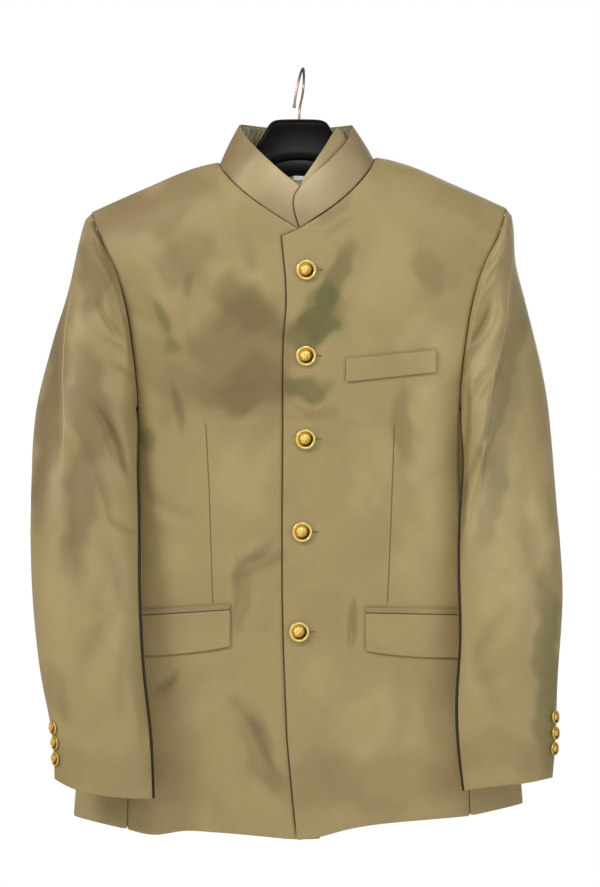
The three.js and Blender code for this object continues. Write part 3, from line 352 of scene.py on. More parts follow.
@dataclass(frozen=True)
class Suiting:
    """Smooth khaki suiting with a fine twill and a soft sheen, with painted shade at its seams and painted
    shade and light in its patches.
    """

    name: str = "suiting"
    base: tuple = srgb(168, 149, 102)
    # The shades in Shade's order: brown and green, partly the cloth's own cast and partly painted shade; then
    # painted shade and painted light.
    shades: tuple = (srgb(142, 121, 82), srgb(112, 107, 62), srgb(104, 88, 54), srgb(188, 170, 120))
    # The next three colours: painted shade at seams, darts and lapped edges; a painted highlight along
    # pressed ridges; a painted shadow where a sleeve's inner front edge meets the body.
    seam_shade: tuple = srgb(60, 42, 16)
    edge: tuple = srgb(204, 186, 144)
    tuck_shadow: tuple = srgb(26, 18, 6)
    pitch: float = 0.9 * MM
    lines: tuple[FineLine, ...] = ()

    def _line(self, graph: Paint, x: Wire, z: Wire, fine: FineLine) -> Wire:
        """How near a place lies to a fine line, from 0 to 1.

        Args:
            graph: the material's nodes.
            x: the place's x, in metres.
            z: the place's height, in metres.
            fine: the line.

        Returns:
            The share at the place.
        """
        stations = fine.stations
        line: Operand = (CENTRE_X + stations[0][0]) * MM
        for (across, down), (next_across, next_down) in zip(stations, stations[1:]):
            line = graph.line(z, -down * MM, -next_down * MM, 0.0, (next_across - across) * MM) + line
        away = graph.math("ABSOLUTE", x - line)
        inside = graph.ramp(z, -stations[-1][1] * MM, -(stations[-1][1] - fine.end_fade) * MM)
        above = graph.ramp(z, -stations[0][1] * MM, -(stations[0][1] + fine.fade) * MM)
        return graph.ramp(away, fine.half * MM, fine.half * 0.3 * MM) * inside * above

    def _color(self, graph: Paint, broad: Wire, slow: Wire) -> Wire:
        """The cloth's colour, with its soft patches of its own cast, painted shade and painted light, and a
        little unevenness.

        Args:
            graph: the material's nodes.
            broad: broad noise.
            slow: finer noise.

        Returns:
            The colour.
        """
        brown, green, dark = graph.split(graph.attribute("shades"))
        light = graph.attribute("light", "Fac")
        brown = graph.ramp(broad, 0.48, 0.6) * 0.18 + brown
        green = graph.ramp(slow, 0.55, 0.67) * 0.12 + green
        # The light share is painted light and the dark share painted shade; brown and green are partly the
        # cloth's own cast and partly painted shade, and the noise adds the cloth's uneven tone to them.
        color: Union[Wire, tuple] = self.base
        for share, shade in zip((light, brown, green, dark), (3, 0, 1, 2)):
            color = graph.mix(graph.math("MINIMUM", share, 1.0), color, self.shades[shade])
        return color

    def material(self) -> bpy.types.Material:
        """Builds the cloth's material.

        Returns:
            The material.
        """
        graph = Paint(self.name)
        place = graph.place()
        x, y, z = graph.split(place)
        u, v, _ = graph.split(graph.attribute("grain"))
        near = graph.attribute("near", "Fac")
        broad = graph.noise(place, 9.0, 3.0)
        slow = graph.noise(place, 15.0, 3.0)
        fleck = graph.noise(place, 750.0, 1.0)
        twill = graph.wave(u + v, self.pitch)
        thread = graph.wave(u - v * 0.35, self.pitch * 0.5)
        color = graph.scaled(self._color(graph, broad, slow), 1.0 + twill * 0.02 + (fleck - 0.5) * 0.1)
        height = twill * 0.35 + thread * 0.15 + fleck * 0.6
        normal = graph.bump(height, 0.2, 0.00018)
        normal = graph.bump(slow, 0.35, 0.005, normal)
        normal = graph.bump(graph.ramp(near, 0.3 * MM, 4.5 * MM), 0.5, 0.0012, normal)
        # Painted shade where the piece lies within about a millimetre of another piece, as at seams.
        seam_shade: Operand = graph.ramp(near, 1.2 * MM, 0.4 * MM) * 0.75
        forward = graph.ramp(y, -6 * MM, -12 * MM)
        for fine in self.lines:
            line = self._line(graph, x, z, fine) * forward
            # Pressed ridges take a painted highlight; darts and lapped edges take lines of painted shade.
            if fine.painted_highlight:
                color = graph.mix(line * fine.amount, color, self.edge)
                normal = graph.bump(line, 0.5, 0.0008, normal)
            else:
                seam_shade = graph.math("MAXIMUM", seam_shade, line * fine.amount)
                normal = graph.bump(1.0 - line, 0.7, 0.0006, normal)
        # Paint the shade at seams and lines, then the darker painted shadow where near is zero, along a
        # tucked sleeve's inner front edge.
        color = graph.mix(seam_shade, color, self.seam_shade)
        color = graph.mix(graph.ramp(near, 0.15 * MM, 0.05 * MM), color, self.tuck_shadow)
        return graph.finish({
            "Base Color": color, "Roughness": 0.47 + (slow - 0.5) * 0.16, "Normal": normal,
            "Sheen Weight": 0.08, "Sheen Roughness": 0.4, "Specular IOR Level": 0.4,
        })


@dataclass(frozen=True)
class Brocade:
    """Satin lining with a small woven leaf repeat."""

    ground: tuple = srgb(140, 131, 92)
    figure: tuple = srgb(196, 190, 154)
    repeat: float = 6 * MM

    def material(self) -> bpy.types.Material:
        """Builds the lining's material.

        Returns:
            The material.
        """
        graph = Paint("brocade_lining")
        place = graph.place()
        u, v, _ = graph.split(graph.attribute("grain"))
        bend = graph.noise(place, 160.0, 2.0) * 3.0
        swung = u + graph.wave(v, self.repeat) * 0.0018
        leaf = graph.wave(swung, self.repeat) * graph.wave(v, self.repeat * 0.8)
        vein = graph.wave(u + v * 1.7, 1.4 * MM)
        mask = graph.ramp(leaf + bend * 0.12 + vein * 0.12, 0.12, 0.42)
        floats = graph.wave(v, 0.5 * MM)
        # Painted shade and light, broken up by noise, that stand in for the light on the lining's crumples.
        painted_fold_shade = graph.noise(place, 120.0, 1.0)
        color = graph.scaled(graph.mix(mask, self.ground, self.figure), 0.45 + painted_fold_shade * 1.1)
        normal = graph.bump(mask + floats * 0.1, 0.6, 0.0004)
        return graph.finish({
            "Base Color": color, "Roughness": 0.5 - mask * 0.2, "Normal": normal,
            "Sheen Weight": 0.2, "Specular IOR Level": 0.5,
        })


@dataclass(frozen=True)
class LabelTape:
    """White woven tape with nothing on it."""

    white: tuple = srgb(250, 250, 246)

    def material(self) -> bpy.types.Material:
        """Builds the tape's material.

        Returns:
            The material.
        """
        graph = Paint("label_tape")
        u, v, _ = graph.split(graph.attribute("grain"))
        rib = graph.wave(u, 0.6 * MM) * graph.wave(v, 0.6 * MM)
        color = graph.scaled(self.white, 0.97 + rib * 0.03)
        return graph.finish({"Base Color": color, "Roughness": 0.7, "Normal": graph.bump(rib, 0.3, 0.0001)})


@dataclass(frozen=True)
class MouldedPlastic:
    """Black moulded plastic with a fine grain and a slight gloss."""

    black: tuple = srgb(7, 7, 5)

    def material(self) -> bpy.types.Material:
        """Builds the plastic's material.

        Returns:
            The material.
        """
        graph = Paint("moulded_black")
        place = graph.place()
        grain = graph.noise(place, 1400.0, 1.0)
        flow = graph.noise(place, 25.0, 2.0)
        color = graph.scaled(self.black, 0.9 + flow * 0.25)
        normal = graph.bump(grain, 0.12, 0.0002)
        return graph.finish({"Base Color": color, "Roughness": 0.3 + flow * 0.12, "Normal": normal,
                             "Specular IOR Level": 0.1})


@dataclass(frozen=True)
class Metal:
    """A metal that turns from bright through a middle colour to dark as the darkening stored on its points
    grows.
    """

    name: str
    bright: tuple
    middle: tuple
    dark: tuple
    rough: float
    metallic: float = 1.0

    def material(self) -> bpy.types.Material:
        """Builds the metal's material.

        Returns:
            The material.
        """
        graph = Paint(self.name)
        place = graph.place()
        darkening = graph.attribute("darkening", "Fac")
        cloud = graph.noise(place, 320.0, 2.0)
        scratch = graph.noise(place, 2600.0, 1.0)
        # On a button the stored darkening is patina in the flower's lows and painted shade elsewhere; on the
        # hook it grows towards the top.
        dimming = graph.math("MINIMUM", darkening * (0.75 + cloud * 0.4), 1.0)
        color = graph.mix(graph.ramp(dimming, 0.0, 0.45), self.bright, self.middle)
        color = graph.mix(graph.ramp(dimming, 0.4, 0.95), color, self.dark)
        rough = dimming * 0.35 + self.rough + cloud * 0.1
        normal = graph.bump(scratch, 0.08, 0.00006)
        metallic = (1.0 - dimming * 0.5) * self.metallic
        return graph.finish({"Base Color": color, "Metallic": metallic, "Roughness": rough, "Normal": normal})


@dataclass(frozen=True)
class Thread:
    """Twisted sewing thread."""

    color: tuple = srgb(132, 112, 72)

    def material(self) -> bpy.types.Material:
        """Builds the thread's material.

        Returns:
            The material.
        """
        graph = Paint("sewing_thread")
        cloud = graph.noise(graph.place(), 1500.0, 2.0)
        color = graph.scaled(self.color, 0.8 + cloud * 0.4)
        return graph.finish({"Base Color": color, "Roughness": 0.6, "Normal": graph.bump(cloud, 0.4, 0.0002),
                             "Sheen Weight": 0.3})


BROWN, GREEN, DARK, LIGHT = Shade


def tones(*rows: tuple) -> tuple[Tone, ...]:
    """Patches from rows of across, down, wide, tall, lean, shade and amount."""
    return tuple(Tone(*row) for row in rows)


# Body patches: brown and green are partly the cloth's own cast and partly painted shade; the dark ones are
# painted shade along folds, and the light ones are painted light, some of it lifting the sleeves' cast
# shadows.
BODY_TONES = tones(
    (-52, 268, 42, 28, 20, DARK, 0.36), (-52, 268, 34, 20, 20, GREEN, 0.3),
    (-66, 306, 52, 44, 0, BROWN, 0.35), (-46, 350, 48, 26, 0, DARK, 0.36),
    (-60, 330, 54, 84, 0, BROWN, 0.4), (-62, 362, 60, 14, 0, BROWN, 0.55),
    (-66, 234, 24, 22, 0, LIGHT, 0.35), (41, 232, 12, 44, 18, GREEN, 0.6),
    (28, 272, 21, 30, 22, GREEN, 0.65), (8, 290, 26, 18, 0, GREEN, 0.75), (6, 285, 16, 12, 30, DARK, 0.3),
    (9, 349, 26, 13, 0, GREEN, 0.75), (18, 376, 22, 6, 0, BROWN, 0.5), (-165, 156, 84, 26, -18, BROWN, 0.7),
    (-176, 190, 34, 14, 0, LIGHT, 0.1), (-130, 210, 34, 30, -20, BROWN, 0.6),
    (-160, 300, 24, 70, -20, GREEN, 0.25), (-121, 238, 5, 14, 15, GREEN, 0.45),
    (-151, 276, 5, 20, -20, GREEN, 0.45), (-138, 310, 13, 8, 20, GREEN, 0.4),
    (-165, 408, 10, 12, 0, GREEN, 0.6), (-130, 360, 30, 26, -30, BROWN, 0.45),
    (-133, 376, 5, 26, -14, DARK, 0.4), (-64, 590, 10, 32, 5, BROWN, 0.6),
    (-45, 548, 9, 34, 62, DARK, 0.35), (-148, 680, 5, 18, 48, DARK, 0.35),
    (-44, 752, 17, 46, -24, BROWN, 0.6), (-44, 742, 5, 34, -28, DARK, 0.35),
    (96, 222, 36, 44, 0, LIGHT, 0.3), (114, 392, 10, 44, 0, BROWN, 0.55),
    (143, 222, 15, 26, 0, BROWN, 0.45), (158, 421, 30, 100, 0, LIGHT, 0.75),
    (79, 443, 22, 52, 0, LIGHT, 0.35), (-57, 443, 32, 52, 0, LIGHT, 0.35),
    (61, 612, 3.5, 26, 0, DARK, 0.35), (28, 672, 18, 28, 10, LIGHT, 0.3), (80, 788, 110, 30, 0, BROWN, 0.4),
    (73, 720, 40, 30, 0, LIGHT, 0.25), (180, 158, 46, 14, 20, BROWN, 0.25),
    (40, 155, 8, 24, 50, DARK, 0.25), (150, 318, 36, 40, 0, LIGHT, 0.4),
    (-150, 560, 30, 34, 0, LIGHT, 0.25), (130, 620, 50, 20, 0, LIGHT, 0.2),
    (-100, 700, 40, 16, -30, LIGHT, 0.3), (-62, 300, 52, 60, 0, DARK, 0.1),
    (150, 540, 40, 60, 0, LIGHT, 0.4), (105, 740, 70, 60, 0, LIGHT, 0.3),
    (-150, 790, 60, 30, 0, BROWN, 0.25),
)
# Sleeve patches: brown and green are partly the cloth's own cast and partly painted shade; the dark strips
# are painted shade along folds, and the light ones are painted light on raised parts.
SLEEVE_TONES = tones(
    (-273, 390, 13, 120, 8, BROWN, 0.5), (-280, 480, 12, 60, 0, BROWN, 0.3),
    (-274, 380, 10, 110, 8, DARK, 0.2), (-253, 330, 5, 50, 2, LIGHT, 0.3),
    (-241, 488, 16, 84, 4, BROWN, 0.55), (-246, 400, 44, 150, 0, BROWN, 0.32),
    (-240, 478, 12, 64, 4, DARK, 0.2), (-209, 408, 7, 44, -25, DARK, 0.4),
    (-224, 214, 17, 60, 8, BROWN, 0.95), (-231, 372, 20, 56, -8, BROWN, 0.8),
    (-198, 275, 7, 44, -18, GREEN, 0.35), (-236, 267, 9, 30, 8, LIGHT, 0.35),
    (-200, 598, 15, 62, 0, LIGHT, 0.35), (-264, 687, 12, 32, -20, DARK, 0.25),
    (-176, 687, 8, 60, -5, GREEN, 0.3), (-220, 775, 60, 26, 0, BROWN, 0.35),
    (229, 340, 9, 110, 16, GREEN, 0.32), (224, 400, 15, 80, 10, GREEN, 0.32),
    (228, 390, 18, 120, 12, LIGHT, 0.5), (185, 432, 3.2, 84, 3, DARK, 0.5),
    (247, 520, 26, 70, 0, LIGHT, 0.45), (264, 560, 14, 110, 0, LIGHT, 0.35),
    (214, 477, 12, 52, 10, GREEN, 0.35), (261, 443, 12, 70, -5, LIGHT, 0.3),
    (186, 320, 5, 26, 25, DARK, 0.35), (202, 330, 7, 60, 14, LIGHT, 0.4), (208, 218, 7, 18, 30, LIGHT, 0.4),
    (272, 665, 14, 110, 0, GREEN, 0.6), (226, 576, 22, 60, 0, LIGHT, 0.35),
    (222, 753, 44, 24, 0, BROWN, 0.35),
)
# Collar patches: the brown ones at its sides are painted shade where the collar turns back, and the light
# ones are painted light on its front.
COLLAR_TONES = tones(
    (-84, 92, 26, 34, 50, BROWN, 0.8), (82, 90, 24, 34, -50, BROWN, 0.55),
    (-40, 120, 22, 20, 0, LIGHT, 0.4), (30, 150, 20, 20, 0, LIGHT, 0.2),
)


class Finish(Enum):
    """The finishes, each with its maker and the record's slot that it belongs to."""

    FRONT_CLOTH = (Suiting("suiting_front", lines=DARTS), "suiting")
    LAPPED_CLOTH = (Suiting("suiting_lapped", lines=(*DARTS, CLOSING)), "suiting")
    SLEEVE_CLOTH = (Suiting("suiting_sleeve", lines=RIDGES), "suiting")
    CLOTH = (Suiting("suiting"), "suiting")
    # The collar's base is darker than the body's: painted shade over it, which the neck light would otherwise
    # brighten.
    COLLAR_CLOTH = (Suiting("suiting_collar", base=srgb(161, 143, 106), lines=(LAP,)), "suiting")
    SHADED_CLOTH = (Suiting("suiting_shaded", base=srgb(156, 138, 98)), "suiting_shaded")
    LINING = (Brocade(), "brocade_lining")
    LABEL = (LabelTape(), "label_tape")
    PLASTIC = (MouldedPlastic(), "moulded_black")
    WIRE = (Metal("hook_wire", srgb(196, 160, 140), srgb(140, 104, 84), srgb(60, 38, 30), 0.2), "hook_wire")
    GOLD = (Metal("gold_buttons", srgb(255, 234, 140), srgb(208, 150, 34), srgb(36, 14, 2), 0.17, 0.5),
            "gold_buttons")
    THREAD = (Thread(), "suiting_shaded")

    def material(self) -> bpy.types.Material:
        """The finish's material, made once.

        Returns:
            The material.
        """
        if self not in _MATERIALS:
            _MATERIALS[self] = self.value[0].material()
        return _MATERIALS[self]

    @property
    def slot(self) -> str:
        """The record's material slot."""
        return self.value[1]


_MATERIALS: dict[Finish, bpy.types.Material] = {}


# Cloth forms


def measure(line: Array, across: Array, down: Array) -> tuple[Array, Array, Array]:
    """Measures places against a line on the jacket's front plane.

    Args:
        line: the line's points, as rows of across and down.
        across: the places' across.
        down: the places' down.

    Returns:
        Each place's distance from the line, the same signed by its side, and how far along the line it lies.
    """
    best = np.full(across.shape, 1e9)
    signed = np.zeros(across.shape)
    along = np.zeros(across.shape)
    for k, (first, last) in enumerate(zip(line, line[1:])):
        step = last - first
        right, below = across - first[0], down - first[1]
        held = np.clip((right * step[0] + below * step[1]) / (step @ step), 0, 1)
        right, below = right - held * step[0], below - held * step[1]
        far = np.hypot(right, below)
        near = far < best
        side = np.sign(step[0] * below - step[1] * right)
        best = np.where(near, far, best)
        signed = np.where(near, side * far, signed)
        along = np.where(near, (k + held) / (len(line) - 1), along)
    return best, signed, along


@dataclass(frozen=True)
class Crease:
    """A soft trough, or a ridge where its depth is negative, along a bowed line.

    A lip raises the cloth along the line's right-hand side, as seen from its start.
    """

    start: tuple[float, float]
    end: tuple[float, float]
    width: float
    depth: float
    bow: float = 0.0
    lip: float = 0.0

    def press(self, across: Array, down: Array) -> Array:
        """How deep the crease presses at each place.

        Args:
            across: the places' across.
            down: the places' down.

        Returns:
            The depth at each place, in millimetres.
        """
        share = np.linspace(0, 1, 11)
        run = np.subtract(self.end, self.start)
        side = np.array([-run[1], run[0]]) / np.hypot(*run)
        line = self.start + np.outer(share, run) + np.outer(4 * self.bow * share * (1 - share), side)
        best, signed, along = measure(line, across, down)
        taper = np.sin(np.pi * (along * 0.92 + 0.04)) ** 0.7
        wide = self.width * (0.65 + 0.35 * taper)
        trough = np.exp(-((best / wide) ** 2))
        raised = np.exp(-(((signed - 1.7 * wide) / wide) ** 2)) * (best < 4 * wide)
        ends = np.exp(-((np.maximum(best - np.abs(signed), 0) / wide) ** 2))
        return self.depth * taper * (trough - self.lip * raised * ends)


@dataclass(frozen=True)
class PressedRidge:
    """A pressed edge in the cloth, which steps back on the line's left-hand side, as seen from its start."""

    stations: Stations
    depth: float
    step: float
    run: float

    def press(self, across: Array, down: Array) -> Array:
        """How far the cloth steps back at each place, in millimetres.

        Args:
            across: the places' across.
            down: the places' down.

        Returns:
            The depth at each place, in millimetres.
        """
        best, signed, along = measure(np.array(self.stations), across, down)
        taper = np.clip(np.sin(np.pi * (along * 0.94 + 0.03)), 0, 1) ** 0.6
        rise = np.clip(signed / self.step, 0, 1)
        behind = rise * rise * (3 - 2 * rise) * np.exp(-((np.maximum(signed, 0) / self.run) ** 2))
        crest = 0.25 * np.exp(-((best / self.step) ** 2)) * (signed <= 0)
        return self.depth * taper * (behind - crest) * (best < 3 * self.run)


@dataclass(frozen=True)
class Ripple:
    """A faint wave over the cloth, from where it was pressed and handled."""

    length: float
    height: float
    angle: float
    phase: float

    def press(self, across: Array, down: Array) -> Array:
        """The ripple's depth at each place, in millimetres.

        Args:
            across: the places' across.
            down: the places' down.

        Returns:
            The depth at each place, in millimetres.
        """
        way = across * math.cos(self.angle) + down * math.sin(self.angle)
        other = down * math.cos(self.angle) - across * math.sin(self.angle)
        swing = np.sin(TAU * way / self.length + self.phase + 1.3 * np.sin(TAU * other / (2.7 * self.length)))
        return self.height * swing * (0.6 + 0.4 * np.sin(TAU * other / (1.9 * self.length) + 2 * self.phase))


Pressed = Union[Crease, PressedRidge, Ripple]

RIPPLES = (
    Ripple(150, 0.9, 0.35, 0.4), Ripple(96, 0.5, 1.25, 2.1), Ripple(210, 0.9, 2.2, 4.0),
    Ripple(62, 0.22, 0.8, 1.0),
)


def creases(*rows: tuple[float, ...]) -> tuple[Crease, ...]:
    """Creases from rows of the start's across and down, the end's, width, depth, bow and lip."""
    return tuple(Crease(row[:2], row[2:4], *row[4:]) for row in rows)


FRONT_CREASES = creases(
    (-20, 386, 30, 389, 3.5, 1.6, 1.5, 0.5), (-100, 386, -24, 384, 7, 1.0, -2, 0.6),
    (40, 392, 160, 390, 6, 0.7, 3, 0.5), (-24, 520, -66, 546, 5.5, 2.4, -5, 0.6),
    (-66, 546, -66, 598, 5, 2.2, 2, 0.6), (61, 588, 59, 646, 3.5, 2.0, 2, 0.6),
    (-86, 690, -30, 782, 8, 2.8, -16, 0.8), (-160, 695, -132, 664, 6, 2.0, 4, 0.5),
    (-74, 656, -44, 655, 3, 1.2, 2, 0.6), (113, 660, 110, 760, 10, 1.5, -4, 0.4),
    (40, 660, 34, 800, 16, 1.0, 6, 0.3), (-150, 175, -100, 250, 11, 2.0, 8, 0.4),
    (-186, 268, -124, 326, 7, 2.0, -8, 0.4), (-168, 250, -140, 290, 6, 1.8, 4, 0.5),
    (-130, 270, -118, 330, 7, 1.6, -4, 0.5), (-142, 350, -120, 400, 6, 1.4, 4, 0.4),
    (180, 262, 130, 320, 10, 0.8, 6, 0.4), (46, 205, 22, 300, 9, 2.2, -6, 0.4),
    (62, 168, 30, 190, 5, 1.2, 3, 0.4), (90, 180, 60, 262, 13, 1.2, 5, 0.4),
    (-62, 180, -50, 232, 8, 1.6, -4, 0.4), (-170, 470, -110, 500, 8, 1.8, 3, 0.4),
    (168, 440, 120, 478, 8, 0.8, 3, 0.4), (118, 345, 112, 440, 9, 1.0, 3, 0.3),
    (-9, 662, 3, 650, 2.6, 1.2, 1, 0.6), (-9, 689, 3, 676, 2.6, 1.2, 1, 0.6),
    (-10, 700, 3, 693, 2.6, 1.2, 1, 0.6), (-60, 800, -40, 700, 12, 1.0, -4, 0.3),
    (-90, 800, -70, 850, 12, 1.4, 5, 0.4), (150, 700, 146, 800, 12, 0.8, -5, 0.4),
)
BACK_CREASES = creases(
    (-90, 165, 80, 172, 12, 2.4, 6, 0.4), (-150, 250, -70, 380, 14, 3.4, 10, 0.4),
    (150, 260, 84, 400, 13, 3.4, -10, 0.4), (-40, 430, 90, 452, 8, 2.2, 5, 0.4),
    (-100, 480, 10, 500, 8, 1.8, -5, 0.4), (-92, 600, -100, 800, 14, 3.2, 5, 0.3),
    (84, 610, 96, 810, 14, 3.0, -6, 0.3), (-20, 640, -26, 820, 12, 2.2, 4, 0.3),
    (-60, 210, -20, 300, 10, 1.8, 5, 0.4), (60, 200, 26, 280, 9, 1.6, -5, 0.4),
)
SLEEVE_CREASES = {
    Side.RIGHT: (
        PressedRidge(((-249, 236), (-254, 262), (-261, 302), (-262, 340), (-261, 388), (-262, 455)),
                     3.2, 4, 26),
        *creases(
            (-223, 257, -193, 301, 3.6, 3.6, 3, 0.7), (-216, 300, -184, 322, 3.2, 2.0, -3, 0.7),
            (-211, 327, -177, 347, 3.6, 2.8, -3, 0.6), (-219, 372, -190, 446, 4.6, 4.0, -6, 0.7),
            (-238, 414, -205, 502, 5.5, 3.0, -6, 0.4), (-208, 496, -174, 515, 3.8, 2.8, 3, 0.6),
            (-246, 420, -236, 570, 11, 2.0, 6, 0.1), (-216, 520, -190, 600, 10, 2.6, -5, 0.4),
            (-200, 600, -240, 670, 12, 2.6, 5, 0.4), (-180, 600, -196, 720, 9, 1.8, 4, 0.3),
            (-262, 690, -250, 735, 6, 1.6, 3, 0.3))),
    Side.LEFT: (
        PressedRidge(((198, 478), (203, 425), (210, 366), (222, 317), (231, 275), (235, 233), (237, 208)),
                     3.0, 3.5, 30),
        *creases(
            (203, 224, 226, 192, 3, 2.6, 2, 0.7), (191, 304, 213, 257, 3.6, 4.2, 3, 0.8),
            (187, 371, 211, 333, 3.8, 3.2, -3, 0.7), (180, 540, 209, 402, 4.2, 4.4, -12, 0.8),
            (202, 245, 215, 222, 3, 2.0, 1, 0.6), (196, 500, 222, 420, 8, 1.4, -6, 0.2),
            (232, 596, 190, 668, 10, 2.2, 4, 0.4), (188, 676, 232, 664, 7, 1.2, 3, 0.4),
            (245, 480, 262, 600, 13, 3.2, -6, 0.3), (200, 640, 226, 720, 11, 2.2, 4, 0.4))),
}
SLEEVE_BACK_CREASES = creases(
    (-262, 330, -205, 300, 8, 3.6, 4, 0.5), (-270, 470, -200, 500, 8, 4.0, -5, 0.5),
    (-262, 520, -205, 545, 7, 3.2, 4, 0.5), (-240, 600, -225, 720, 11, 2.4, 4, 0.3),
    (258, 330, 200, 305, 8, 3.6, 4, 0.5), (270, 470, 196, 496, 8, 4.0, -5, 0.5),
    (262, 522, 200, 548, 7, 3.2, 4, 0.5), (226, 610, 244, 720, 11, 2.4, -4, 0.3),
)

SHOULDER_LINE = ((0, 82), (45, 90), (87, 100), (128, 111), (156, 123), (198, 140.5), (230, 155), (260, 170))
SHOULDER_LIFT = ((78, 0), (88, 3.2), (100, 4), (130, 3.6), (160, 3), (200, 2.2), (230, 2))
SLEEVE_MIDDLE = ((155, 4), (240, 0), (326, -5), (377, -11), (440, -25), (504, -42), (570, -53), (640, -61),
                 (806, -66))


def table_value(table: Sequence[tuple[float, float]], place: Array) -> Array:
    """Reads a table of (place, value) rows at some places."""
    return np.interp(place, [row[0] for row in table], [row[1] for row in table])


@dataclass(frozen=True)
class Cut:
    """A sheet's flat size and its area, in metres."""

    wide: float
    tall: float
    area: Optional[float] = None


@dataclass
class Cloth:
    """One cloth piece: its node, its finish, its cut and how its grain and creases lie."""

    node: str
    finish: Finish
    cut: Cut
    rests_on: tuple[str, ...]
    shape: Callable[[Array], Array]
    grain: Callable[[Array], Array]
    tones: Sequence[Tone] = ()
    creases: Sequence[Pressed] = ()
    levels: int = 3
    rim: float = 0.55
    eased: bool = False
    # A tucked piece takes a painted shadow along its inner front edge, where it meets the body.
    tucked: bool = False

    def build(self) -> None:
        piece = refined(self.node, f"{self.node}_cloth", self.levels, self.rim)
        points = read_points(piece.data)
        store(piece.data, "grain", self.grain(points) * MM)
        near, towards = neighbours(self.node, points)
        # A near of zero marks the points that take the painted shadow along a tucked piece's inner front
        # edge.
        store(piece.data, "near", np.where(self._in_shade(points), 0.0, near) * MM)
        self._shade(piece.data, points)
        if self.eased:
            points = ease_head(points, near, towards)
        write_points(piece.data, self.shape(points))
        dress(piece, self.finish, self.node)

    def _in_shade(self, points: Array) -> Array:
        """Which points take a painted shadow where a tucked piece's inner front edge meets the body.

        Args:
            points: the piece's points, in millimetres.

        Returns:
            True for each point that takes the painted shadow.
        """
        inner = np.abs(points[:, 0] - CENTRE_X) < SLEEVE_INSIDE
        forward = points[:, 1] < table_value(SLEEVE_MIDDLE, -points[:, 2]) - TUCK_DEPTH
        return inner & forward & self.tucked

    def _shade(self, mesh: bpy.types.Mesh, points: Array) -> None:
        """Stores how much of each shade the front's points take, with painted shade in their crease troughs
        and painted light on the troughs' lips; the back takes the patches mirrored and fainter.

        Args:
            mesh: the piece's mesh.
            points: the points, in millimetres.
        """
        behind = points[:, 1] > 10
        across = np.where(behind, CENTRE_X - points[:, 0], points[:, 0] - CENTRE_X)
        amounts = {shade: np.zeros(len(points)) for shade in Shade}
        for tone in self.tones:
            amounts[tone.shade] += tone.cover(across, -points[:, 2]) * np.where(behind, BACK_SHADE, 1.0)
        pressed = depth_of(self.creases, across, -points[:, 2]) * ~behind
        # Painted shade in the crease troughs and painted light on their lips.
        amounts[DARK] += np.clip(pressed / TROUGH_DEPTH, 0, 1) * TROUGH_SHADE
        amounts[LIGHT] += np.clip(-pressed / TROUGH_DEPTH, 0, 1) * TROUGH_SHADE * 0.6
        stacked = np.stack([amounts[BROWN], amounts[GREEN], amounts[DARK]], 1)
        store(mesh, "shades", np.clip(stacked, 0, 1))
        store(mesh, "light", np.clip(amounts[LIGHT], 0, 1))


def neighbours(node: str, points: Array) -> tuple[Array, Array]:
    """How near each point lies to the other cloth pieces.

    Args:
        node: the points' own solid.
        points: the points, in millimetres.

    Returns:
        The distance to the nearest other piece, at most SEAM_REACH, and the vector to its nearest place.
    """
    corners, faces = [], []
    for name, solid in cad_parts.items():
        if name == node or name.startswith(("button", "hanger")):
            continue
        first = len(corners)
        corners += [corner.co / MM for corner in solid.data.vertices]
        faces += [[first + k for k in face.vertices] for face in solid.data.polygons]
    tree = BVHTree.FromPolygons(corners, faces)
    near = np.full(len(points), SEAM_REACH)
    towards = np.zeros((len(points), 3))
    for k, point in enumerate(points):
        spot, _, _, far = tree.find_nearest(Vector(point), SEAM_REACH)
        if spot is not None:
            near[k] = far
            towards[k] = np.array(spot) - point
    return near, towards


def ease_head(points: Array, near: Array, towards: Array) -> Array:
    """Eases a sleeve's head up to its armhole.

    Args:
        points: the sleeve's points, in millimetres.
        near: their distances from the nearest other piece.
        towards: the vectors to its nearest place.

    Returns:
        The moved points.
    """
    gap, most, width = 0.35, 3.2, 9.0
    head = fade(points[:, 2], -270, 40)
    reach = np.clip(near - gap, 0, most) * np.clip(1 - (near - gap - most) / width, 0, 1) * head
    reach *= near < SEAM_REACH
    return points + towards * (reach / np.maximum(near, 1e-6))[:, None]


def refined(node: str, name: str, levels: int, rim: float) -> bpy.types.Object:
    """A smooth, fine copy of a node's solid.

    Args:
        node: the solid's name.
        name: the new piece's name.
        levels: how many times each face is divided.
        rim: how sharp its rims stay, from 0 to 1.

    Returns:
        The new object, with a plain mesh.
    """
    base = bpy.data.meshes.new(f"{name}_base")
    work = bmesh.new()
    work.from_mesh(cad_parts[node].data)
    bmesh.ops.remove_doubles(work, verts=work.verts, dist=MERGE_DISTANCE)
    bmesh.ops.join_triangles(work, faces=work.faces, angle_face_threshold=math.radians(50),
                             angle_shape_threshold=math.radians(75))
    crease = work.edges.layers.float.get("crease_edge") or work.edges.layers.float.new("crease_edge")
    for edge in work.edges:
        if len(edge.link_faces) == 2 and edge.calc_face_angle() > RIM_ANGLE:
            edge[crease] = rim
    work.to_mesh(base)
    work.free()
    piece = placed(name, base)
    smooth = piece.modifiers.new("smooth", "SUBSURF")
    smooth.levels = levels
    smooth.render_levels = levels
    bake_modifiers(piece)
    return piece


def bake_modifiers(piece: bpy.types.Object) -> None:
    """Turns an object's modifiers into its plain mesh.

    Args:
        piece: the object.
    """
    graph = bpy.context.evaluated_depsgraph_get()
    plain = bpy.data.meshes.new_from_object(piece.evaluated_get(graph), depsgraph=graph)
    piece.modifiers.clear()
    piece.data = plain
    plain.polygons.foreach_set("use_smooth", np.ones(len(plain.polygons), bool))


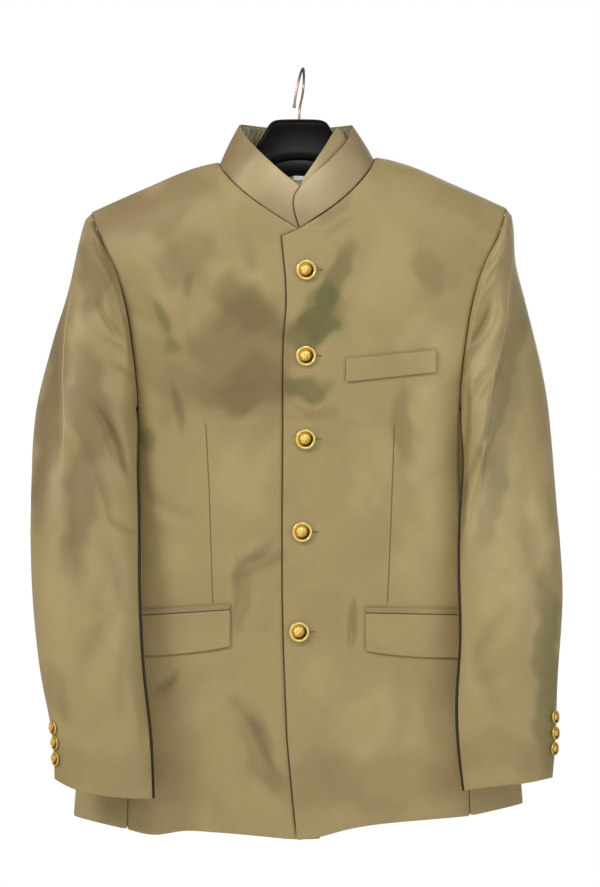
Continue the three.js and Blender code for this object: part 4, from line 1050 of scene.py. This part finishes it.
def placed(name: str, data: bpy.types.ID, place: Sequence[float] = (0, 0, 0),
           aim: Optional[Sequence[float]] = None) -> bpy.types.Object:
    """Puts a new object into the scene.

    Args:
        name: its name.
        data: its mesh, lamp or camera.
        place: where it stands, in metres.
        aim: where it looks to, or nothing where it stays unturned.

    Returns:
        The object.
    """
    made = bpy.data.objects.new(name, data)
    made.location = place
    if aim is not None:
        made.rotation_euler = (Vector(aim) - Vector(place)).to_track_quat("-Z", "Y").to_euler()
    bpy.context.scene.collection.objects.link(made)
    return made


def read_points(mesh: bpy.types.Mesh) -> Array:
    """A mesh's points.

    Args:
        mesh: the mesh.

    Returns:
        Its points, in millimetres.
    """
    flat = np.empty(len(mesh.vertices) * 3, np.float32)
    mesh.vertices.foreach_get("co", flat)
    return flat.reshape(-1, 3).astype(float) / MM


def write_points(mesh: bpy.types.Mesh, points: Array) -> None:
    """Moves a mesh's points to places in millimetres."""
    mesh.vertices.foreach_set("co", (points * MM).astype(np.float32).ravel())
    mesh.update()


def store(mesh: bpy.types.Mesh, name: str, values: Array) -> None:
    """Stores a number or a vector for each point.

    Args:
        mesh: the mesh.
        name: the attribute's name.
        values: one row for each point.
    """
    kind, key = ("FLOAT", "value") if values.ndim == 1 else ("FLOAT_VECTOR", "vector")
    layer = mesh.attributes.new(name, kind, "POINT")
    layer.data.foreach_set(key, values.astype(np.float32).ravel())


def dress(piece: bpy.types.Object, finish: Finish, *nodes: str) -> None:
    """Gives a piece its finish and its body, and hides the solids that it stands for.

    Args:
        piece: the finished piece.
        finish: its finish.
        nodes: the solids that it stands for.
    """
    piece.data.materials.clear()
    piece.data.materials.append(finish.material())
    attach(piece, BODY_NAME)
    if nodes:
        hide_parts(*nodes)
    LOG.info("%s: %d faces", piece.name, len(piece.data.polygons))


def depth_of(creases: Sequence[Pressed], across: Array, down: Array) -> Array:
    """The sum of creases and ripples at each place.

    Args:
        creases: the creases or ripples.
        across: the places' across.
        down: the places' down.

    Returns:
        The depth at each place, in millimetres.
    """
    total = np.zeros(across.shape)
    for crease in creases:
        total += crease.press(across, down)
    return total


def lift_shoulder(across: Array, down: Array) -> Array:
    """How far the cloth near the shoulder line is lifted, to keep the line's height when it is rounded."""
    below = down - table_value(SHOULDER_LINE, np.abs(across))
    return table_value(SHOULDER_LIFT, np.abs(across)) * np.exp(-((below / 10) ** 2))


def front_depth(across: Array, down: Array) -> Array:
    """How far the front's cloth is pressed in at each place, in millimetres."""
    calm = fade(down, 178, 50) * 0.75 + 0.25
    return depth_of(FRONT_CREASES, across, down) + depth_of(RIPPLES, across, down) * calm


def shape_body(points: Array) -> Array:
    """Presses creases into the front and the back of the body.

    Args:
        points: the points, in millimetres.

    Returns:
        The moved points.
    """
    across, down = points[:, 0] - CENTRE_X, -points[:, 2]
    forward, behind = fade(-points[:, 1], -8, 24), fade(points[:, 1], 12, 24)
    edge = fade(down, 104, 30)
    moved = points.copy()
    moved[:, 1] += front_depth(across, down) * forward * edge
    back = depth_of(BACK_CREASES, across, down) + depth_of(RIPPLES, -across, down + 31)
    moved[:, 1] -= back * behind * edge
    moved[:, 2] += lift_shoulder(across, down)
    return moved


def shape_sleeve(side: Side) -> Callable[[Array], Array]:
    """A function that presses a sleeve's creases in.

    Args:
        side: which sleeve.

    Returns:
        The function.
    """

    def shape(points: Array) -> Array:
        """Presses creases into the front and the back of the sleeve.

        Args:
            points: the points, in millimetres.

        Returns:
            The moved points.
        """
        across, down = points[:, 0] - CENTRE_X, -points[:, 2]
        back = points[:, 1] - table_value(SLEEVE_MIDDLE, down)
        forward, behind, head = fade(-back, 0, 16), fade(back, 0, 16), fade(down, 175, 50)
        ripples = depth_of(RIPPLES, across + 77, down) * 0.8
        moved = points.copy()
        moved[:, 1] += (depth_of(SLEEVE_CREASES[side], across, down) + ripples) * forward * head
        moved[:, 1] -= (depth_of(SLEEVE_BACK_CREASES, across, down) + ripples) * behind * head
        moved[:, 0] += side.value * OUTER_EASE * fade(np.abs(across), 226, 40)
        moved[:, 2] += lift_shoulder(across, down)
        return moved

    return shape


def shape_lining(points: Array) -> Array:
    """Crumples the neck lining inwards, away from the cloth.

    Args:
        points: the points, in millimetres.

    Returns:
        The moved points.
    """
    x, y, z = points.T
    crumple = (np.sin(x / 2.2 + 1.3 * np.sin(z / 4.7)) * np.sin(z / 3.9 + 0.8 * np.sin(x / 5.3)) * 0.6
               + np.sin(x / 4.4 - z / 8.1) * 0.6)
    inward = np.stack([CENTRE_X - x, 4 - y, np.zeros_like(x)], 1)
    inward /= np.linalg.norm(inward, axis=1, keepdims=True)
    return points + inward * (1.1 + crumple)[:, None]


def shape_label(points: Array) -> Array:
    """Brings the label forward of the crumpled lining."""
    return points - np.array([0, 2.6, 0])


def keep_shape(points: Array) -> Array:
    """Leaves the points where they are."""
    return points


def grain_body(points: Array) -> Array:
    """The cloth's own measure round the body and down it.

    Args:
        points: the points, in millimetres.

    Returns:
        The measure of each point, in millimetres.
    """
    x, y, z = points.T
    round_ = np.sign(x - CENTRE_X) * (np.abs(x - CENTRE_X) + BODY_ROUND - np.abs(y - BODY_MIDDLE))
    return np.stack([round_, z, y * 0], 1)


def grain_sleeve(side: Side) -> Callable[[Array], Array]:
    """A function for the cloth's own measure round a sleeve and down it.

    Args:
        side: which sleeve.

    Returns:
        The function.
    """

    def grain(points: Array) -> Array:
        """The measure round the sleeve and down it.

        Args:
            points: the points, in millimetres.

        Returns:
            The measure of each point, in millimetres.
        """
        x, y, z = points.T
        middle = table_value(SLEEVE_MIDDLE, -z)
        turn = np.arctan2(y - middle, x - CENTRE_X - side.value * SLEEVE_ACROSS)
        return np.stack([turn * SLEEVE_ROUND, z, y * 0], 1)

    return grain


def grain_neck(points: Array) -> Array:
    """The cloth's own measure round the neck and up it.

    Args:
        points: the points, in millimetres.

    Returns:
        The measure of each point, in millimetres.
    """
    x, y, z = points.T
    turn = np.arctan2(y - NECK_MIDDLE, x - CENTRE_X)
    return np.stack([turn * NECK_ROUND, z, y * 0], 1)


# The garment's sub-assemblies


@dataclass
class JacketBody:
    """Fronts, side panels and back halves, hung on the hanger's arms."""

    front: Cut = Cut(0.268, 0.768, 0.153)
    side: Cut = Cut(0.105, 0.475, 0.0433)
    back: Cut = Cut(0.250, 0.765, 0.151)

    def build(self) -> None:
        """Builds the body's six pieces."""
        lies = (shape_body, grain_body, BODY_TONES)
        for word in ("left", "right"):
            front, back = f"front_{word}", f"back_{word}"
            Cloth(front, Finish.LAPPED_CLOTH, self.front, ("hanger_body",), *lies, FRONT_CREASES).build()
            Cloth(f"side_{word}", Finish.CLOTH, self.side, (front, back), *lies).build()
            Cloth(back, Finish.CLOTH, self.back, ("hanger_body",), *lies).build()


@dataclass
class Sleeves:
    """Two-piece sleeves that hang from their armholes."""

    top: Cut = Cut(0.205, 0.650, 0.089)
    under: Cut = Cut(0.205, 0.640, 0.079)

    def build(self) -> None:
        """Builds both sleeves."""
        for side in Side:
            word = side.name.lower()
            front, back = f"front_{word}", f"back_{word}"
            lies = (shape_sleeve(side), grain_sleeve(side), SLEEVE_TONES, SLEEVE_CREASES[side])
            cloth = Finish.SLEEVE_CLOTH
            Cloth(f"top_sleeve_{word}", cloth, self.top, (front, back), *lies, eased=True).build()
            Cloth(f"under_sleeve_{word}", cloth, self.under, (back,), *lies, eased=True, tucked=True).build()


@dataclass
class Neck:
    """Stand collar, the band inside its lapped end, the lining and the bare label."""

    collar: Cut = Cut(0.440, 0.060, 0.0197)
    band: Cut = Cut(0.098, 0.036, 0.0023)
    lining: Cut = Cut(0.200, 0.120, 0.0168)
    label: Cut = Cut(0.0125, 0.011, 0.000075)

    def build(self) -> None:
        """Builds the neck's pieces."""
        backs = ("back_left", "back_right")
        Cloth("collar", Finish.COLLAR_CLOTH, self.collar, ("front_left", "front_right", *backs), keep_shape,
              grain_neck, COLLAR_TONES).build()
        Cloth("collar_inner_band", Finish.SHADED_CLOTH, self.band, ("collar",), keep_shape,
              grain_neck).build()
        Cloth("neck_lining", Finish.LINING, self.lining, ("collar", *backs), shape_lining, grain_neck).build()
        Cloth("label", Finish.LABEL, self.label, ("neck_lining",), shape_label, grain_neck, levels=2).build()


@dataclass
class Pockets:
    """Breast welt, and the flaps with the jets over them."""

    welt: Cut = Cut(0.102, 0.0265)
    flap: Cut = Cut(0.138, 0.050, 0.0062)
    jet: Cut = Cut(0.138, 0.011, 0.0009)

    def build(self) -> None:
        """Builds the pockets' pieces."""
        lies = (shape_body, grain_body, BODY_TONES, FRONT_CREASES)
        Cloth("welt_breast", Finish.FRONT_CLOTH, self.welt, ("front_left",), *lies).build()
        for word in ("left", "right"):
            front = (f"front_{word}",)
            Cloth(f"flap_{word}", Finish.FRONT_CLOTH, self.flap, front, *lies).build()
            Cloth(f"jet_{word}", Finish.SHADED_CLOTH, self.jet, front, *lies).build()


@dataclass(frozen=True)
class Relief:
    """A round button's form: its profile as (radius, height) rows, and the generic flower on its dome."""

    profile: Stations
    petals: int
    flower: float
    relief: float
    rings: int
    spokes: int

    def height(self, radius: Array, turn: Array) -> Array:
        """The flower's extra height at each place of the dome.

        Args:
            radius: the places' distance from the middle.
            turn: the places' angle round the middle.

        Returns:
            The height, in millimetres.
        """
        share = radius / self.flower
        outer = np.abs(np.cos(turn * self.petals / 2)) ** 0.6
        petal = np.clip(1 - np.abs(share - 0.62 * outer - 0.1) / (0.3 + 0.1 * outer), 0, 1)
        eye = np.clip(1 - (share / 0.24) ** 2, 0, 1)
        vein = 1 - 0.35 * np.exp(-((np.sin(turn * self.petals / 2) / 0.16) ** 2))
        return self.relief * np.clip(np.maximum(petal * vein, eye), 0, 1) * (share < 1)


FRONT_RELIEF = Relief(
    ((0, 5.2), (2.5, 5.05), (4.6, 4.6), (6.2, 3.7), (6.9, 2.9), (7.5, 2.6), (8.1, 2.75), (8.5, 3.7),
     (8.9, 4.45), (9.6, 4.75), (10.3, 4.6), (10.85, 4), (11, 3.2), (10.6, 2.4), (9.4, 1.7), (6, 1.35),
     (3, 1.2), (3, 0), (0, 0)),
    8, 5.8, 0.5, 60, 72)
CUFF_RELIEF = Relief(
    ((0, 4.3), (1.8, 4.2), (3.2, 3.75), (4.2, 3.1), (4.7, 2.6), (5.2, 2.55), (5.6, 3.1), (6, 3.75),
     (6.6, 3.85), (7.15, 3.45), (7.4, 2.8), (7.1, 2.1), (6.4, 1.6), (4, 1.3), (2, 1.2), (2, 0), (0, 0)),
    6, 3.7, 0.35, 48, 48)


@dataclass
class Button:
    """A turned metal button that stands where its solid does."""

    node: str
    relief: Relief
    outward: Vector

    def _stand(self) -> tuple[Array, Array, Array, Array]:
        """The foot, axis and two cross directions of the button, from its solid.

        Returns:
            The foot, the axis and the two directions.
        """
        points = read_points(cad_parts[self.node].data)
        middle = (points.max(0) + points.min(0)) / 2
        spread = np.linalg.eigh(np.cov((points - middle).T))[1]
        axis = spread[:, 0]
        if axis @ np.array(self.outward) < 0:
            axis = -axis
        reach = (points - middle) @ axis
        weights = (points - middle) - np.outer(reach, axis)
        radius = np.linalg.norm(weights, axis=1)
        rim = radius > 0.9 * radius.max()
        centre = points[rim].mean(0)
        foot = centre + axis * ((points - centre) @ axis).min()
        up = np.array([0.0, 0.0, 1.0]) - axis * axis[2]
        up /= np.linalg.norm(up)
        return foot, axis, np.cross(up, axis), up

    def _profile(self) -> tuple[Array, Array]:
        """The profile's radii and heights, evenly spaced along its length.

        Returns:
            The radii and the heights.
        """
        rows = np.array(self.relief.profile)
        steps = np.hypot(*np.diff(rows, axis=0).T)
        travel = np.concatenate([[0], np.cumsum(steps)])
        places = np.linspace(0, travel[-1], self.relief.rings)
        return np.interp(places, travel, rows[:, 0]), np.interp(places, travel, rows[:, 1])

    def _metal_darkening(self, radius: Array, turn: Array) -> Array:
        """How dark the metal is at each place: painted shade round the recess, deepest at its lower right,
        along the outer rim and over the dome's lower right, and patina in the flower's lows.

        Args:
            radius: the places' distance from the middle.
            turn: the places' angle round the middle.

        Returns:
            The darkness, from 0 to 1.
        """
        inner, outer = self.relief.profile[3][0], self.relief.profile[6][0] + 0.3
        edge = self.relief.profile[12][0]
        # The lower right, away from the light, takes the most painted shade.
        away = np.cos(turn + math.radians(40))
        recess = fade(radius, inner - 0.3, 0.5) * fade(-radius, -outer, 0.4)
        rim = fade(radius, edge * 0.955, 0.3)
        low = 1 - self.relief.height(radius, turn) / self.relief.relief
        dome = (radius < inner) * (0.3 * low + 0.5 * np.clip(away * radius / inner + 0.1, 0, 1))
        return np.clip(recess * (0.72 + 0.4 * away) + rim * 0.8 + dome, 0, 1)

    def build(self) -> None:
        """Builds the button."""
        foot, axis, right, up = self._stand()
        radii, heights = self._profile()
        spokes = self.relief.spokes
        turns = np.linspace(0, TAU, spokes, endpoint=False)
        radius = np.repeat(radii[1:-1], spokes)
        turn = np.tile(turns, len(radii) - 2)
        base = np.repeat(heights[1:-1], spokes)
        top = np.repeat(np.arange(1, len(radii) - 1) < self.relief.rings * 0.45, spokes)
        height = base + self.relief.height(radius, turn) * top
        grid = foot + np.outer(radius * np.cos(turn), right) + np.outer(radius * np.sin(turn), up)
        grid += np.outer(height, axis)
        crown = foot + axis * (heights[0] + self.relief.relief)
        points = np.vstack([grid, crown, foot + axis * heights[-1]])
        rows = len(radii) - 2
        faces = ring_faces(0, rows, spokes) + tip_faces(rows * spokes, 0, spokes)
        faces += tip_faces(rows * spokes + 1, (rows - 1) * spokes, spokes)
        piece = mesh_piece(f"{self.node}_metal", points, faces)
        # Painted shade and patina for the metal, none at the crown and full at the foot.
        darkening = np.concatenate([self._metal_darkening(radius, turn) * top, [0, 1]])
        store(piece.data, "darkening", darkening)
        dress(piece, Finish.GOLD, self.node)


def ring_faces(first: int, rings: int, sides: int) -> list[tuple[int, ...]]:
    """The faces between rings of points.

    Args:
        first: the first ring's first point.
        rings: how many rings there are.
        sides: how many points each ring has.

    Returns:
        The faces, as rows of point numbers.
    """
    starts = [(first + ring * sides, side) for ring in range(rings - 1) for side in range(sides)]
    corners = [(start + side, start + (side + 1) % sides) for start, side in starts]
    return [(a, a + sides, b + sides, b) for a, b in corners]


def tip_faces(tip: int, ring: int, sides: int) -> list[tuple[int, ...]]:
    """The faces between a tip's point and the ring that starts at another point."""
    return [(tip, ring + side, ring + (side + 1) % sides) for side in range(sides)]


def mesh_piece(name: str, points: Array, faces: Sequence[tuple[int, ...]]) -> bpy.types.Object:
    """An object from points in millimetres and faces, with its faces turned outwards.

    Args:
        name: the piece's name.
        points: its points.
        faces: its faces, as rows of point numbers.

    Returns:
        The new object.
    """
    mesh = bpy.data.meshes.new(name)
    mesh.from_pydata((points * MM).tolist(), [], [tuple(int(k) for k in face) for face in faces])
    work = bmesh.new()
    work.from_mesh(mesh)
    bmesh.ops.recalc_face_normals(work, faces=work.faces)
    work.to_mesh(mesh)
    work.free()
    mesh.polygons.foreach_set("use_smooth", np.ones(len(mesh.polygons), bool))
    return placed(name, mesh)


@dataclass
class Buttons:
    """Five buttons down the front and three at each cuff."""

    front_count: int = 5
    cuff_count: int = 3

    def build(self) -> None:
        """Builds all the buttons."""
        for k in range(1, self.front_count + 1):
            Button(f"button_front_{k}", FRONT_RELIEF, Vector((0, -1, 0))).build()
        for side in Side:
            for k in range(1, self.cuff_count + 1):
                node = f"button_cuff_{side.name.lower()}_{k}"
                Button(node, CUFF_RELIEF, Vector((side.value, -0.3, 0))).build()


class StitchTree:
    """A Geometry Nodes tree that lays stitches across a path."""

    inputs: tuple[tuple[str, float], ...] = (
        ("Spacing", 0.5 * MM), ("Stitch length", 1.6 * MM), ("Thread radius", 0.25 * MM),
        ("Unevenness", 0.12))

    def __init__(self, material: bpy.types.Material) -> None:
        """Builds the tree, with this material on its thread.

        Args:
            material: the thread's material.
        """
        self.tree = bpy.data.node_groups.new("stitches_on_path", "GeometryNodeTree")
        graph = Graph(self.tree)
        face = self.tree.interface
        face.new_socket("Path", in_out="INPUT", socket_type="NodeSocketGeometry")
        self.sockets = {}
        for name, value in self.inputs:
            socket = face.new_socket(name, in_out="INPUT", socket_type="NodeSocketFloat")
            socket.default_value = value
            self.sockets[name] = socket.identifier
        face.new_socket("Stitches", in_out="OUTPUT", socket_type="NodeSocketGeometry")
        outputs = graph.node("NodeGroupInput").outputs
        path, spacing, length, radius, uneven = (Wire(graph, outputs[k]) for k in range(5))
        curve = graph.wire("GeometryNodeMeshToCurve", None, {"Mesh": path})
        even = graph.wire("GeometryNodeResampleCurve", {"mode": "LENGTH"},
                          {"Curve": curve, "Length": spacing})
        turned = graph.wire("FunctionNodeAlignRotationToVector", {"axis": "X"},
                            {"Vector": graph.wire("GeometryNodeInputTangent")})
        faced = graph.wire("FunctionNodeAlignRotationToVector", {"axis": "Z", "pivot_axis": "X"},
                           {"Rotation": turned, "Vector": (0.0, -1.0, 0.0)})
        jitter = graph.wire("FunctionNodeRandomValue", {"data_type": "FLOAT"},
                            {"Seed": 11, 2: 1.0 - uneven, 3: 1.0 + uneven}, 1)
        ball = graph.wire("GeometryNodeMeshUVSphere", None, {"Segments": 8, "Rings": 6, "Radius": radius})
        size = graph.wire("ShaderNodeCombineXYZ", None, {0: 1.0, 1: length / radius * 0.5 * jitter, 2: 0.8})
        laid = graph.wire("GeometryNodeInstanceOnPoints", None,
                          {"Points": even, "Instance": ball, "Rotation": faced, "Scale": size})
        real = graph.wire("GeometryNodeRealizeInstances", None, {0: laid})
        painted = graph.wire("GeometryNodeSetMaterial", None, {"Geometry": real, "Material": material})
        graph.node("NodeGroupOutput", None, {0: painted})

    def lay(self, piece: bpy.types.Object, sizes: dict[str, float]) -> None:
        """Lays stitches across a path object's line and makes them its mesh.

        Args:
            piece: an object whose edges are the path.
            sizes: the tree's named inputs, in metres.
        """
        modifier = piece.modifiers.new("stitches", "NODES")
        modifier.node_group = self.tree
        for name, value in sizes.items():
            modifier[self.sockets[name]] = value
        bake_modifiers(piece)


@dataclass
class Buttonholes:
    """Worked buttonholes in the left front, of which a little shows beside each button."""

    stations: Stations = (
        (8.2, 222.7), (7.7, 317.4), (7.5, 409.2), (3.8, 511.9), (0.6, 622.4))
    start: float = -2.0
    end: float = 17.6
    half: float = 0.5
    spacing: float = 0.5 * MM
    stitch: float = 0.9 * MM
    thread: float = 0.2 * MM
    lift: float = 0.12

    def build(self) -> None:
        """Builds all the buttonholes as one piece of stitches."""
        points, edges = [], []
        for across, down in self.stations:
            sides = [self.start + (self.end - self.start) * k / 12 for k in range(13)]
            turns = [math.pi * k / 6 for k in range(1, 6)]
            loop = [(across + side, down - self.half) for side in sides]
            loop += [(across + self.end + self.half * math.sin(turn), down - self.half * math.cos(turn))
                     for turn in turns]
            loop += [(across + side, down + self.half) for side in reversed(sides)]
            first = len(points)
            points += [on_front(*place, self.lift) for place in loop]
            edges += [(first + k, first + k + 1) for k in range(len(loop) - 1)]
        mesh = bpy.data.meshes.new("buttonhole_stitches")
        mesh.from_pydata([point * MM for point in points], edges, [])
        piece = placed("buttonhole_stitches", mesh)
        StitchTree(Finish.THREAD.material()).lay(piece, {
            "Spacing": self.spacing, "Stitch length": self.stitch, "Thread radius": self.thread})
        dress(piece, Finish.THREAD)


def on_front(across: float, down: float, lift: float) -> Vector:
    """A place on the left front's dressed face, moved out by a lift, in millimetres.

    Args:
        across: the places' across.
        down: the places' down.
        lift: how far it stands off the face.

    Returns:
        The place.
    """
    cloth = bpy.data.objects["front_left_cloth"]
    start = Vector((CENTRE_X + across, -200, -down))
    spot = cloth.ray_cast(start * MM, Vector((0, 1, 0)))[1]
    return Vector((start.x, spot.y / MM - lift, start.z))


@dataclass
class LooseThread:
    """The short end of thread left at the top buttonhole."""

    route: tuple[tuple[float, float, float], ...] = (
        (21.0, 220.6, 0.5), (23.5, 219.4, 1.4), (25.4, 221.2, 1.9), (26.8, 224.6, 1.2), (25.8, 226.9, 0.7))
    radius: float = 0.22
    sides: int = 6

    def build(self) -> None:
        """Builds the thread end as a fine tube."""
        middle = [on_front(*row) for row in self.route]
        points, faces = tube(smooth_route(middle, 5), self.radius, self.sides)
        dress(mesh_piece("loose_thread", points, faces), Finish.THREAD)


def smooth_route(stations: Sequence[Vector], steps: int) -> list[Vector]:
    """A smooth line through some stations.

    Args:
        stations: the places that it passes.
        steps: how many points lie between two of them.

    Returns:
        The line's points.
    """
    line = []
    padded = [stations[0] * 2 - stations[1], *stations, stations[-1] * 2 - stations[-2]]
    for a, b, c, d in zip(padded, padded[1:], padded[2:], padded[3:]):
        for k in range(steps):
            t = k / steps
            line.append(0.5 * (2 * b + (c - a) * t + (2 * a - 5 * b + 4 * c - d) * t * t
                               + (3 * b - a - 3 * c + d) * t ** 3))
    return [*line, stations[-1]]


def tube(line: Sequence[Vector], radius: float, sides: int) -> tuple[Array, list[tuple[int, ...]]]:
    """A closed round tube along a line.

    Args:
        line: the tube's middle.
        radius: its radius.
        sides: how many sides it has.

    Returns:
        Its points and faces.
    """
    points = []
    normal = None
    for k, spot in enumerate(line):
        ahead = (line[min(k + 1, len(line) - 1)] - line[max(k - 1, 0)]).normalized()
        if normal is None:
            normal = ahead.orthogonal().normalized()
        normal = (normal - ahead * normal.dot(ahead)).normalized()
        other = ahead.cross(normal)
        for s in range(sides):
            turn = TAU * s / sides
            points.append(spot + (normal * math.cos(turn) + other * math.sin(turn)) * radius)
    last = (len(line) - 1) * sides
    caps = [tuple(range(sides)), tuple(last + s for s in reversed(range(sides)))]
    return np.array([list(point) for point in points]), ring_faces(0, len(line), sides) + caps


@dataclass
class Hanger:
    """The moulded hanger and its wire hook with a ball at the tip."""

    wire: float = 1.35
    ball: float = 2.1
    sides: int = 20
    top_lift: float = 1.8
    route: tuple[tuple[float, float, float], ...] = (
        (-4.2, 4.0, 55.7), (-4.0, 4.6, 46.0), (-2.6, 9.0, 37.0), (-1.0, 18.0, 30.0), (0.7, 24.6, 17.0),
        (1.0, 21.0, 6.0), (0.6, 11.5, -0.4), (0.0, 0.0, -1.5), (-1.9, -12.0, 2.4), (-4.6, -21.5, 12.0),
        (-7.4, -24.4, 26.0), (-9.6, -24.0, 40.0))

    def _hook(self) -> None:
        """Builds the wire and its ball as one piece."""
        line = smooth_route([Vector((x, y, -down)) for x, y, down in self.route], 9)
        points, faces = tube(line, self.wire, self.sides)
        tip = np.array(line[-1]) - np.array([0, 0, self.ball / 2])
        rows, first = 14, len(points)
        globe = [tip + [0, 0, self.ball], tip - [0, 0, self.ball]]
        for j in range(1, rows):
            lean = math.pi * j / rows
            for s in range(self.sides):
                turn = TAU * s / self.sides
                globe.append(tip + self.ball * np.array([math.sin(lean) * math.cos(turn),
                                                         math.sin(lean) * math.sin(turn), math.cos(lean)]))
        faces += tip_faces(first, first + 2, self.sides)
        faces += tip_faces(first + 1, first + 2 + (rows - 2) * self.sides, self.sides)
        faces += ring_faces(first + 2, rows - 1, self.sides)
        piece = mesh_piece("hanger_hook_wire", np.vstack([points, globe]), faces)
        height = read_points(piece.data)[:, 2]
        # The wire turns darker towards the top of the hook.
        store(piece.data, "darkening", 0.1 + 0.8 * fade(height, -12, 12))
        dress(piece, Finish.WIRE, "hanger_hook")

    def build(self) -> None:
        """Builds the hanger."""
        body = refined("hanger_body", "hanger_body_moulding", 2, 0.5)
        points = read_points(body.data)
        points[:, 2] += self.top_lift * fade(points[:, 2], -75, 15)
        write_points(body.data, points)
        dress(body, Finish.PLASTIC, "hanger_body")
        self._hook()


# The studio


@dataclass
class Studio:
    """The camera at the photograph's angle, soft light and a pale floor under the jacket."""

    width: int = 600
    height: int = 887
    scale: float = 1.106 * MM
    distance: float = 12.0
    origin_px: tuple[float, float] = (303.0, 69.0)
    plane: float = -0.03
    floor_z: float = -1.15
    floor_radius: float = 1.5
    floor_sides: int = 96
    middle: tuple[float, float, float] = (0.0, 0.0, -0.42)
    neck_from: tuple[float, float, float] = (0.0, -3.0, 0.25)
    neck_aim: tuple[float, float, float] = (-0.002, 0.03, -0.12)
    neck_cone: float = 1.3
    neck_power: float = 360.0
    surround: float = 0.4
    lamps: tuple[tuple, ...] = (
        ("key", (-2.1, -1.9, 1.1), 1.3, 44.5, (1.0, 0.985, 0.95)),
        ("fill", (2.2, -2.6, -0.1), 2.2, 19.0, (1.0, 0.99, 0.97)),
        ("top", (0.1, -1.6, 1.0), 0.5, 7.0, (1.0, 0.99, 0.97)),
        ("rear", (0.6, 2.4, 0.4), 1.6, 12.0, (1.0, 1.0, 1.0)),
    )

    def _camera(self) -> None:
        """Makes the camera, straight in front of the jacket."""
        data = bpy.data.cameras.new("camera")
        data.sensor_fit = "VERTICAL"
        data.sensor_height = 24.0
        data.lens = 24.0 * self.distance / (self.height * self.scale)
        x = (self.width / 2 - self.origin_px[0]) * self.scale
        z = -(self.height / 2 - self.origin_px[1]) * self.scale
        camera = placed("camera", data, (x, self.plane - self.distance, z))
        camera.rotation_euler = (math.pi / 2, 0, 0)
        bpy.context.scene.camera = camera

    def _light(self, name: str, place: tuple, size: float, power: float, color: tuple) -> None:
        """Makes one soft light that looks at the jacket's middle.

        Args:
            name: its name.
            place: where it stands.
            size: its width, in metres.
            power: its power, in watts.
            color: its colour.
        """
        data = bpy.data.lights.new(name, "AREA")
        data.shape = "DISK"
        data.size = size
        data.energy = power
        data.color = color
        placed(name, data, place, self.middle)

    def _neck_light(self) -> None:
        """Makes the narrow soft light that reaches the lining inside the neck."""
        data = bpy.data.lights.new("neck", "SPOT")
        data.spot_size = math.radians(self.neck_cone)
        data.spot_blend = 1.0
        data.shadow_soft_size = 0.03
        data.energy = self.neck_power
        placed("neck", data, self.neck_from, self.neck_aim)

    def _world(self) -> None:
        """Makes the white surroundings, brighter to look at than they light."""
        world = bpy.data.worlds.new("studio")
        world.use_nodes = True
        graph = Graph(world.node_tree)
        seen = graph.wire("ShaderNodeBackground", None, {0: (1.0, 1.0, 0.995, 1), 1: 1.0})
        lit = graph.wire("ShaderNodeBackground", None, {0: (1.0, 0.99, 0.97, 1), 1: self.surround})
        camera = graph.wire("ShaderNodeLightPath", None, None, "Is Camera Ray")
        both = graph.wire("ShaderNodeMixShader", None, {0: camera, 1: lit, 2: seen})
        graph.node("ShaderNodeOutputWorld", None, {0: both})
        bpy.context.scene.world = world

    def _floor(self) -> None:
        """Makes the pale floor."""
        mesh = bpy.data.meshes.new("floor")
        turns = np.linspace(0, TAU, self.floor_sides, endpoint=False)
        rim = [(self.floor_radius * math.cos(turn), self.floor_radius * math.sin(turn), self.floor_z)
               for turn in turns]
        mesh.from_pydata(rim, [], [tuple(range(self.floor_sides))])
        floor = placed("floor", mesh)
        graph = Paint("pale_floor")
        cloud = graph.noise(graph.place(), 6.0, 2.0)
        floor.data.materials.append(graph.finish({
            "Base Color": graph.scaled((0.93, 0.93, 0.92, 1), 0.97 + cloud * 0.05), "Roughness": 0.8}))

    def build(self) -> None:
        """Builds the studio."""
        self._camera()
        self._world()
        self._floor()
        for lamp in self.lamps:
            self._light(*lamp)
        self._neck_light()
        scene = bpy.context.scene
        scene.view_settings.view_transform = "Standard"
        scene.view_settings.look = "None"


def main() -> None:
    """Builds the jacket, its hanger and the studio."""
    logging.basicConfig(level=logging.INFO, format="%(name)s %(message)s")
    for part in (Studio, JacketBody, Sleeves, Neck, Pockets, Buttons, Buttonholes, LooseThread, Hanger):
        LOG.info("building %s", part.__name__)
        part().build()


if __name__ == "__main__":
    main()
